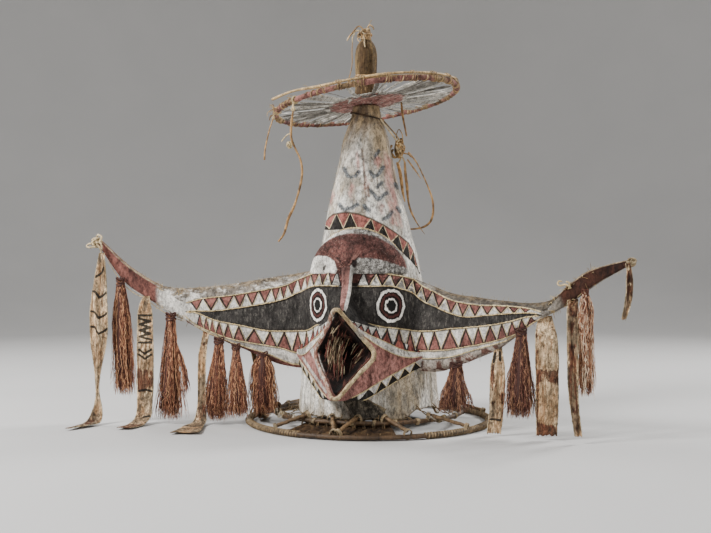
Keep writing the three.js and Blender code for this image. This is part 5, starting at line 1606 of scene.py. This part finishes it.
for i in range(44):
    a = rng.choice([rng.uniform(-178, -138), rng.uniform(-125, -100)], p=[0.75, 0.25])
    start = polar(a, DISC_RADIUS + rng.uniform(-5, 5), rng.uniform(-4, 8))
    away = unit(polar(a + rng.uniform(-60, 60), 1, rng.uniform(-0.9, 1.0)))
    size = rng.uniform(8, 26)
    curl = unit(np.cross(away, rng.normal(0, 1, 3)))
    s = np.linspace(0, 1, 9)[:, None]
    line = start + away * s * size + curl * np.sin(s * rng.uniform(2, 6)) * size * 0.25
    loose.tubes(crown_at(line), rng.uniform(0.4, 1.0), 4, tone=rng.uniform(0.2, 1))
loose.piece("crown_canes", CANE, ["crown_cane"], "cane")

# Finial: folded cloth gathered over the top, with its collar and knotted string
FIN_COLUMNS = 90
fin_turn = 2 * np.pi * np.arange(FIN_COLUMNS) / FIN_COLUMNS
fin_z = np.concatenate([[633.3], np.linspace(633.4, 768, 80), [768.2]])[:, None]
fin_profile = [(633, 17), (650, 17), (657, 22.5), (668, 22), (700, 21.5), (735, 21.5), (755, 17.5), (768, 9)]
fin_radius = along(fin_profile, fin_z)
fin_wave = spoke(fin_turn, fin_z / 90)
folds = 1.5 * rough(fin_wave * [1, 1, 0.5], 2.4, 3) + 0.9 * rough(fin_wave * [1, 1, 0.25], 7, 5)
fin_radius = fin_radius + folds - 1.4 * np.exp(-((fin_z - 690) / 6) ** 2)
fin_radius[[0, -1]] *= 0.02
fin = spoke(fin_turn, fin_z) * np.stack(np.broadcast_arrays(fin_radius, fin_radius, 1), -1) + [LEAN, 0, 0]
mesh_piece("finial_cloth", fin, grid_faces(len(fin), FIN_COLUMNS, wrap_columns=True), {}, plain_cloth(
    "finial_cloth", ("786343", "413120", 0.40, 0.60, 30, (1, 1, 0.18)),
    [("4a3825", 0.7, 0.48, 0.62, 24, 4, 0.7, (1, 1, 0.2)), ("3d2f21", 0.5, 0.54, 0.64, 250, 5, 0.8)], (1, 1, 0.15),
), ["finial"])


def tangle(heap, centre, size, count, thick, tone_range, seed):
    """Loops of string pulled into a knot."""
    local = np.random.default_rng(seed)
    s = np.linspace(0, 2 * math.pi, 34)
    for i in range(count):
        axes = np.linalg.qr(local.normal(0, 1, (3, 3)))[0]
        loop = (axes[:, 0] * np.cos(s)[:, None] * local.uniform(0.55, 0.95)
                + axes[:, 1] * np.sin(s)[:, None] * local.uniform(0.3, 0.8)
                + axes[:, 2] * np.sin(2 * s + local.uniform(0, 6))[:, None] * 0.25)
        heap.tubes(centre + (loop + local.normal(0, 0.12, 3)) * np.array(size), thick * local.uniform(0.7, 1.2), 6,
                   tone=local.uniform(*tone_range))


knot = Heap()
tangle(knot, [-8, 0, 780], [17, 9, 12], 11, 1.5, (0.2, 1), 5)
for route, thick in (
    ([(-6, -4, 778), (-22, -8, 786), (-38, -8, 776), (-44, -8, 766)], 1.7),
    ([(-6, -4, 782), (-18, -10, 794), (-32, -10, 782), (-40, -9, 772)], 1.5),
    ([(-6, 0, 784), (2, -4, 796), (9, -5, 792), (12, -5, 786)], 1.8), ([(-4, 0, 786), (0, 0, 798), (6, 0, 808)], 0.8),
    ([(-10, -8, 776), (-6, -14, 768), (-4, -20, 756), (-2, -22, 748)], 1.5),
    ([(-14, -6, 774), (-20, -14, 768), (-14, -18, 760)], 1.2),
):
    knot.tubes(smooth_path(route, 22), thick, 6, tone=rng.uniform(0.4, 1))
turn_at = np.linspace(0, 2 * math.pi, 40, endpoint=False)
for z, r in ((768.5, 9.5), (771.5, 9.0), (774, 8.5), (686, 21.6), (689.6, 21.4), (693, 21.8)):
    ring = spoke(turn_at, z + np.sin(turn_at * 2)) * [r, r, 1] + [LEAN, 0, 0]
    knot.tubes(ring[None], 1.5, 6, tone=0.5, closed=True)
knot.piece("finial_knot_string", STRING, ["finial_knot"], "string")

# Knots on the horns' tips and on the neck
PALE_STRING = string_material("pale_string", "c6b08a", "6d563a")
left_knot = Heap()
tangle(left_knot, [-520, -160, 360], [13, 9, 12], 12, 2.0, (0, 1), 12)
for route in ([(-520, -164, 358), (-536, -166, 356), (-541, -166, 352), (-534, -168, 349), (-520, -166, 352)],
              [(-522, -164, 364), (-516, -166, 374), (-508, -166, 370), (-512, -166, 360)],
              [(-512, -168, 362), (-506, -170, 354), (-503, -174, 344)],
              [(-518, -168, 356), (-508, -172, 348), (-502, -176, 336)]):
    left_knot.tubes(smooth_path(route, 26), 2.0, 7, tone=rng.random())
left_knot.piece("left_knot_string", PALE_STRING, ["left_tip_knot"], "string")
right_knot = Heap()
tangle(right_knot, [514, -162, 319], [8.5, 8, 8.5], 9, 1.7, (0, 0.8), 14)
right_knot.tubes(smooth_path([(512, -166, 318), (510, -172, 312), (509, -176, 304)], 12), 2.0, 6, tone=0.2)
right_knot.piece("right_knot_string", PALE_STRING, ["right_tip_knot"], "string")

neck = Heap()
tie_turn = np.radians(np.linspace(150, 510, 70))
tie_z = 613 - 8 * np.cos(tie_turn - math.radians(20)) + 3 * np.sin(tie_turn)
tie_radius = along(HELMET_RADII, tie_z) + 2.4
tie = np.stack([tie_radius * np.cos(tie_turn) + LEAN, tie_radius * np.sin(tie_turn), tie_z], -1)
neck.tubes(tie[:-1][None], 1.5, 6, closed=True, tone=0.0)
neck.piece("neck_tie_cord", string_material("dark_string", "4a3826", "1e1611"), ["neck_tie"], "string")
lump = Heap()
tangle(lump, [60, 15, 549], [11, 10, 22], 20, 1.8, (0, 0.9), 21)
for route, thick in (
    ([(27, -14, 606), (38, -8, 590), (50, 2, 572), (58, 10, 560)], 1.8),
    ([(27, -8, 608), (42, 0, 590), (54, 8, 575), (62, 12, 562)], 1.5),
    ([(52, 20, 562), (54, 12, 576), (60, 8, 586), (66, 8, 578), (68, 10, 566)], 1.0),
    ([(58, 12, 552), (66, 10, 540), (78, 14, 536), (84, 18, 530)], 1.6),
    ([(60, 16, 538), (62, 14, 528), (54, 26, 520)], 1.8), ([(60, 12, 536), (68, 8, 528), (72, 8, 520)], 1.8),
    ([(46, 18, 548), (44, 12, 540), (50, 10, 530), (60, 14, 534)], 2.2),
    ([(44, 16, 556), (42, 8, 548), (46, 4, 538), (52, 8, 528)], 2.4),
):
    lump.tubes(smooth_path(route, 22), thick, 6, tone=rng.uniform(0, 1))
lump.piece("neck_knot_string", string_material("knot_string", "a5814f", "3a2716"), ["neck_knot"], "string")

# Shoulder hoop, inner ring, struts and their lashings
hoop_turn = np.linspace(-180, 180, 721)[:-1]
hoop_wave = polar(hoop_turn, 1.0, 0.0)
hoop = Heap()
for shift, height, thick in ((-2.4, 5.2, 4.4), (2.6, 5.6, 4.0)):
    line = polar(hoop_turn, HOOP_RADIUS + shift + 0.7 * rough(hoop_wave, 6, shift), height)
    hoop.tubes(line[None], thick + 0.25 * rough(hoop_wave, 20, 2)[None], 10, closed=True, tone=0.35)
for low, high, step in ((-178, -106, 1.5), (-50, -4, 1.5), (4, 60, 1.7), (100, 172, 1.7)):
    winds = np.linspace(0, (high - low) / step * 2 * math.pi, int((high - low) / step * 9))
    degrees = low + (high - low) * winds / winds[-1]
    line = coil(polar(degrees, HOOP_RADIUS, 6.0), polar(degrees, 1, 0), winds, 6.4, 4.6)
    hoop.tubes(line, 1.7, 5, flat=1.2, tone=-0.6)
DARK_CANE = cane_material("dark_cane", "57422d", "1e140c")
STRUT_CANE = cane_material("strut_cane", "7e6446", "2e2015")
hoop.piece("hoop_canes", DARK_CANE, ["shoulder_hoop"], "cane")

ring = Heap()
ring_line = polar(ring_turn, RING_RADIUS + 1.2 * rough(rim_wave, 5, 8), 23 + 1.0 * rough(rim_wave, 4, 9))
ring.tubes(ring_line[None], 4.3 + 0.3 * rough(rim_wave, 24, 3)[None], 10, closed=True, tone=0.2)
ring.piece("ring_cane", DARK_CANE, ["inner_ring"], "cane")

STRUTS = [(-90, -97), (-88, -81), (-121, -113), (-58, -66), (-174, -163), (-26, -38), (152, 140), (90, 97),
          (88, 81), (28, 40)]
lashings = Heap()


def lashing(centre, axis, around, turns, thick=0.9, pitch=2.2, tone=0.6):
    """A few turns of bark string about an axis."""
    axis = unit(np.asarray(axis, float))
    side = unit(np.cross(axis, [0.13, 0.2, 1.0]))
    other = np.cross(axis, side)
    winds = np.linspace(0, 2 * math.pi * turns, int(turns * 14))
    line = centre + axis * ((winds / (2 * math.pi) - turns / 2) * pitch)[:, None]
    line = line + side * np.cos(winds)[:, None] * around[0] + other * np.sin(winds)[:, None] * around[1]
    lashings.tubes(line, thick, 5, flat=1.3, tone=tone)


for i, (on_hoop, on_ring) in enumerate(STRUTS):
    start, end = polar(on_hoop, 238, 15.3), polar(on_ring, 180, 34.5)
    t = np.linspace(0, 1, 16)[:, None]
    line = start + (end - start) * t + rng.normal(0, 0.25, (16, 3))
    strut = Heap()
    strut.tubes(line, 3.6 + 0.3 * rng.normal(0, 1, 16), 9, flat=1.1, tone=rng.uniform(0.1, 0.7), ends=False)
    for cap_at, points in ((0, line[:1]), (1, line[-1:])):
        strut.tubes(np.concatenate([points, points + unit(end - start) * (1.2 if cap_at else -1.2)]), 3.4, 9, tone=0.8)
    strut.piece(f"strut_{i + 1}_cane", STRUT_CANE, [f"strut_{i + 1}"], "cane")
    way = unit(end - start)
    lashing(polar(on_hoop, HOOP_RADIUS, 10.5), np.cross(way, [0, 0, 1.0]) * 0.3 + way, (7.5, 9.5), 3.4)
    lashing(polar(on_ring, 184, 29.5), way, (7.0, 9.5), 3.4)
for a in (-150, -136, -124, -108, -96, -84, -72, -60, -46, -30, -12, 8, 34, 62, 92, 118, 146, 172):
    lashing(polar(a, RING_RADIUS, 23), polar(a + 90, 1, 0), (5.4, 5.4), 3.0)
    hem_z = float(hem_at(np.array([math.radians(a)]))[0])
    s = np.linspace(0, 1, 14)[:, None]
    inner_end = polar(a + rng.uniform(-6, 6), 141, max(hem_z + 8, 30))
    for side in (-1.2, 1.4):
        tie_line = polar(a + side, 184, 24) * (1 - s) + inner_end * s
        tie_line[:, 2] += 3 * np.sin(s[:, 0] * 6 + side) - 3 * np.sin(s[:, 0] * math.pi)
        lashings.tubes(tie_line, 1.1, 5, tone=0.5)
for a in np.arange(-116, -62, 5.5):
    lashing(polar(a, 184, 20) + [0, 0, -1.5], polar(a + 90, 1, 0), (6.0, 9.0), 1.2, 1.0, 3.5, tone=0.4)
    lashing(polar(a + 2, 234, 6), polar(a + 92, 1, 0), (9.0, 5.2), 1.1, 0.7, 3.0, tone=0.4)
lashings.piece("lashings", string_material("lashing_string", "7f6443", "2c1f14"), (), "string")

# Brown cloth stretched between the ring and the hoop in front
CLOTH_ROWS, CLOTH_COLUMNS = 34, 96
CLOTH_INNER, CLOTH_OUTER = 174, 231
sheet_turn = np.linspace(-118, -62, CLOTH_COLUMNS)
sheet_share = np.linspace(0, 1, CLOTH_ROWS)[:, None]
sheet_radius = CLOTH_INNER + (CLOTH_OUTER - CLOTH_INNER) * sheet_share
sheet_radius = sheet_radius + 1.5 * np.sin(sheet_turn * 0.9) * (sheet_share - 0.5)
sheet_z = 15.5 - 10.5 * sheet_share
cloth = polar(sheet_turn, sheet_radius, sheet_z)
pleats = 1.6 * np.sin(np.radians(sheet_turn) * 62 + 2 * sheet_share) + 2.2 * rough(cloth / 1000, 30, 4)
cloth[..., 2] += pleats * np.sin(math.pi * np.clip(sheet_share, 0.05, 0.95)) + 0.6
cloth_all = np.concatenate([cloth + [0, 0, 0.5], (cloth - [0, 0, 0.5])[::-1]])
cloth_all[..., 2] = np.maximum(cloth_all[..., 2], 0.8)
front_cloth = mesh_piece("front_cloth", cloth_all, sheet_faces(CLOTH_ROWS, CLOTH_COLUMNS), {}, plain_cloth(
    "brown_cloth_paint", ("4a3623", "21170f", 0.40, 0.62, 30, (1, 1, 1)),
    [("7b6243", 0.4, 0.52, 0.64, 70, 5, 0.75), ("241a12", 0.6, 0.54, 0.64, 260, 5, 0.8)], (1, 1, 1),
), ["shoulder_cloth"])

# Torn ends of white cloth caught on the ring
scraps = Heap()
for a, r, z, wide, tall, seed in ((-139, 186, 28, 24, 10, 1), (-147, 187, 29, 18, 9, 2), (-122, 185, 26, 16, 8, 3),
                                  (-37, 187, 28, 20, 11, 4), (-30, 190, 25, 14, 13, 5), (-60, 186, 20, 12, 9, 6)):
    s, d = np.linspace(-0.5, 0.5, 16), np.linspace(0, 1, 10)[:, None]
    degrees = a + s * wide / r * 57.3 + d * 2
    patch = polar(degrees * np.ones((10, 1)), r + 4 + 7 * d * np.cos(s * 5 + seed), z - tall * (d - 0.4) + 0 * s)
    patch += rough(patch / 1000, 60, seed)[..., None] * [3, 3, 5]
    shell = np.concatenate([patch, (patch + [0, 0, 1.2])[::-1]])
    scraps.put(shell, grid_faces(20, 16, wrap_rows=True), tone=0.0)


def scrap_material():
    p = Paint("scrap_cloth")
    color = worn(p, "b8b0a2", "6f6453", 0.42, 0.6, 60)
    color = p.mix(p.fade(p.noise(50, 5, 0.75), 0.44, 0.56), color, worn(p, "97835f", "4f3f2c", 0.4, 0.6, 60))
    return p.done(color, p.bark(EVEN), 0.0014)


scraps.piece("white_scraps", scrap_material(), (), "white_cloth")


# Hairs of bark that stand off the worn edges, and curls where the horns are bound on
hairs = Heap()


def hair(start, way, size, thick=0.22, curl=0.35, steps=5, tone=0.5):
    way = unit(np.asarray(way, float) + rng.normal(0, 0.45, 3))
    bend = unit(np.cross(way, rng.normal(0, 1, 3)))
    s = np.linspace(0, 1, steps)[:, None]
    hairs.tubes(np.asarray(start) + way * s * size + bend * s ** 2 * size * curl, thick, 3, tone=tone)


for i in range(330):
    x = rng.uniform(-500, 500)
    upper = rng.random() < 0.6
    z = float(along(FACE_TOP if upper else FACE_BOTTOM, x))
    y = float(face_front(x) + along(FACE_THICKNESS, x) / 2 + rng.uniform(-4, 4))
    hair((x, y, z - 1 if upper else z + 1), (0.3, -0.2, 1 if upper else -1), rng.uniform(3, 9), tone=rng.random())
for i in range(420):
    a, z = rng.uniform(-math.pi, math.pi), rng.uniform(30, 600)
    r = float(along(HELMET_RADII, z)) + 1
    hair((r * math.cos(a) + float(lean(z)), r * math.sin(a), z), (math.cos(a), math.sin(a), 0.4), rng.uniform(3, 7),
         tone=rng.random())
for middle, reach, count in ((405, 9, 40), (378, 8, 26), (-356, 12, 34), (-394, 8, 22), (440, 20, 16)):
    for i in range(count):
        x = middle + rng.normal(0, reach / 2)
        low, high = float(along(FACE_BOTTOM, x)), float(along(FACE_TOP, x))
        z = low + (high - low) * rng.choice([rng.uniform(0.02, 0.2), rng.uniform(0.75, 0.98)])
        start = face_point(np.array([x]), np.array([z]), 0.5)[0]
        hair(start, rng.normal(0, 1, 3) + [0, -0.6, 0.5 if z > (low + high) / 2 else -0.3], rng.uniform(4, 11), 0.45,
             0.9, 7, rng.uniform(0.5, 1.0))
for i in range(60):
    start = np.array([LEAN, 0, 633]) + polar(rng.uniform(-180, 180), 22, rng.uniform(-2, 60))
    hair(start, start - [LEAN, 0, 640], rng.uniform(3, 8), tone=rng.random())
for curl in (
    [(395, -142, 284), (389, -144, 285), (387, -145, 280), (392, -145, 277), (400, -143, 279), (411, -140, 272)],
    [(401, -143, 284), (406, -144, 283), (408, -143, 277), (406, -141, 271)],
    [(-350, -118, 262), (-354, -122, 254), (-349, -125, 246), (-344, -124, 252), (-349, -122, 258)],
    [(-356, -118, 226), (-350, -123, 232), (-344, -124, 226), (-349, -122, 220)],
):
    hairs.tubes(smooth_path(curl, 22), 1.7, 6, tone=0.5)
tangle(hairs, [-110, -168, 541], [6, 5, 8], 7, 1.3, (0.1, 0.6), 31)
hairs.tubes(smooth_path([(-106, -168, 563), (-113, -169, 560), (-121, -169, 553), (-126, -168, 547)], 12), 1.2, 6,
            tone=0.3)

# The strings' upper ends are tied to the disc's rim and to the top knot
rim_middle = crown_at(polar(np.arange(-180, 180, 0.5), DISC_RADIUS, 0))
for name, thick in (("crown_string_1", 1.5), ("crown_string_2", 2.1)):
    top = np.array(STRINGS[name][0][0], float)
    nearest = int(np.argmin(np.linalg.norm(rim_middle - top, axis=1)))
    on_rim = rim_middle[nearest]
    outwards, onwards = unit(on_rim - DISC_MIDDLE), unit(rim_middle[nearest - 1] - on_rim)
    up = unit(np.cross(onwards, outwards))
    hairs.tubes(smooth_path([tuple(on_rim + outwards * 1.5), tuple(on_rim * 0.4 + top * 0.6 + outwards * 2.5),
                             tuple(top - [0, 0, 1.5])], 14), thick, 7, tone=0.5)
    winds = np.linspace(0, 2 * math.pi * 2.4, 44)[:, None]
    round_rim = (outwards * np.cos(winds) + up * np.sin(winds)) * 6.8
    hairs.tubes(on_rim + onwards * (winds / 2.4 - math.pi) * 0.9 + round_rim, thick * 0.6, 5, tone=0.5)
    tangle(hairs, top, [3.6, 3.2, 4.4], 5, thick * 0.55, (0.3, 0.7), 40 + nearest % 7)
hairs.tubes(smooth_path([(-27, -9, 781), (-32, -8, 773), (-33, -6, 761)], 12), 1.2, 6, tone=0.5)
hairs.piece("loose_bark", PALE_CANE, (), "string")


# Studio
floor_paint = Paint("studio_floor")
floor_tone = floor_paint.mix(floor_paint.noise(3, 3, 0.5), "b9b8b6", "c1bfbd")
floor_material = floor_paint.done(floor_tone, floor_paint.noise(500, 2), 0.0001, grime=0)
cove = [(0.01, 0.0), (1.2, 0.0), (3.0, 0.0)] + [
    (3.0 + 2.0 * math.sin(a), 2.0 - 2.0 * math.cos(a)) for a in np.linspace(0.05, 1.57, 30)] + [(5.0, 5.0)]
COVE_COLUMNS = 96
cove_turn = np.linspace(0, 2 * math.pi, COVE_COLUMNS + 1)[:-1]
cove_points = [(1000 * away * math.cos(a), 1000 * away * math.sin(a), 1000 * high - 0.6)
               for away, high in cove for a in cove_turn]
floor = mesh_object("floor", cove_points, grid_faces(len(cove), COVE_COLUMNS, wrap_columns=True), {}, floor_material)
bpy.context.scene.collection.objects.link(floor)

world = bpy.data.worlds.new("studio")
world.use_nodes = True
background = world.node_tree.nodes["Background"]
background.inputs["Color"].default_value = rgb("dfe0e2")
background.inputs["Strength"].default_value = 0.35
bpy.context.scene.world = world


def lamp(name, side, height, away, size, power):
    data = bpy.data.lights.new(name, "AREA")
    data.shape = "RECTANGLE"
    data.size = data.size_y = size
    data.energy = power
    obj = bpy.data.objects.new(name, data)
    place = Vector(ZERO + RIGHT * side - AHEAD * away + [0, 0, height])
    obj.location = place
    obj.rotation_euler = (Vector(ZERO + [0, 0, 0.35]) - place).to_track_quat("-Z", "Y").to_euler()
    bpy.context.scene.collection.objects.link(obj)


lamp("key", -2.1, 2.0, 1.3, 0.8, 135)
lamp("fill", 1.4, 1.3, 2.4, 1.6, 32)
lamp("right_rim", 1.9, 1.9, -1.0, 0.8, 80)
lamp("left_rim", -1.7, 1.9, -1.1, 0.8, 40)
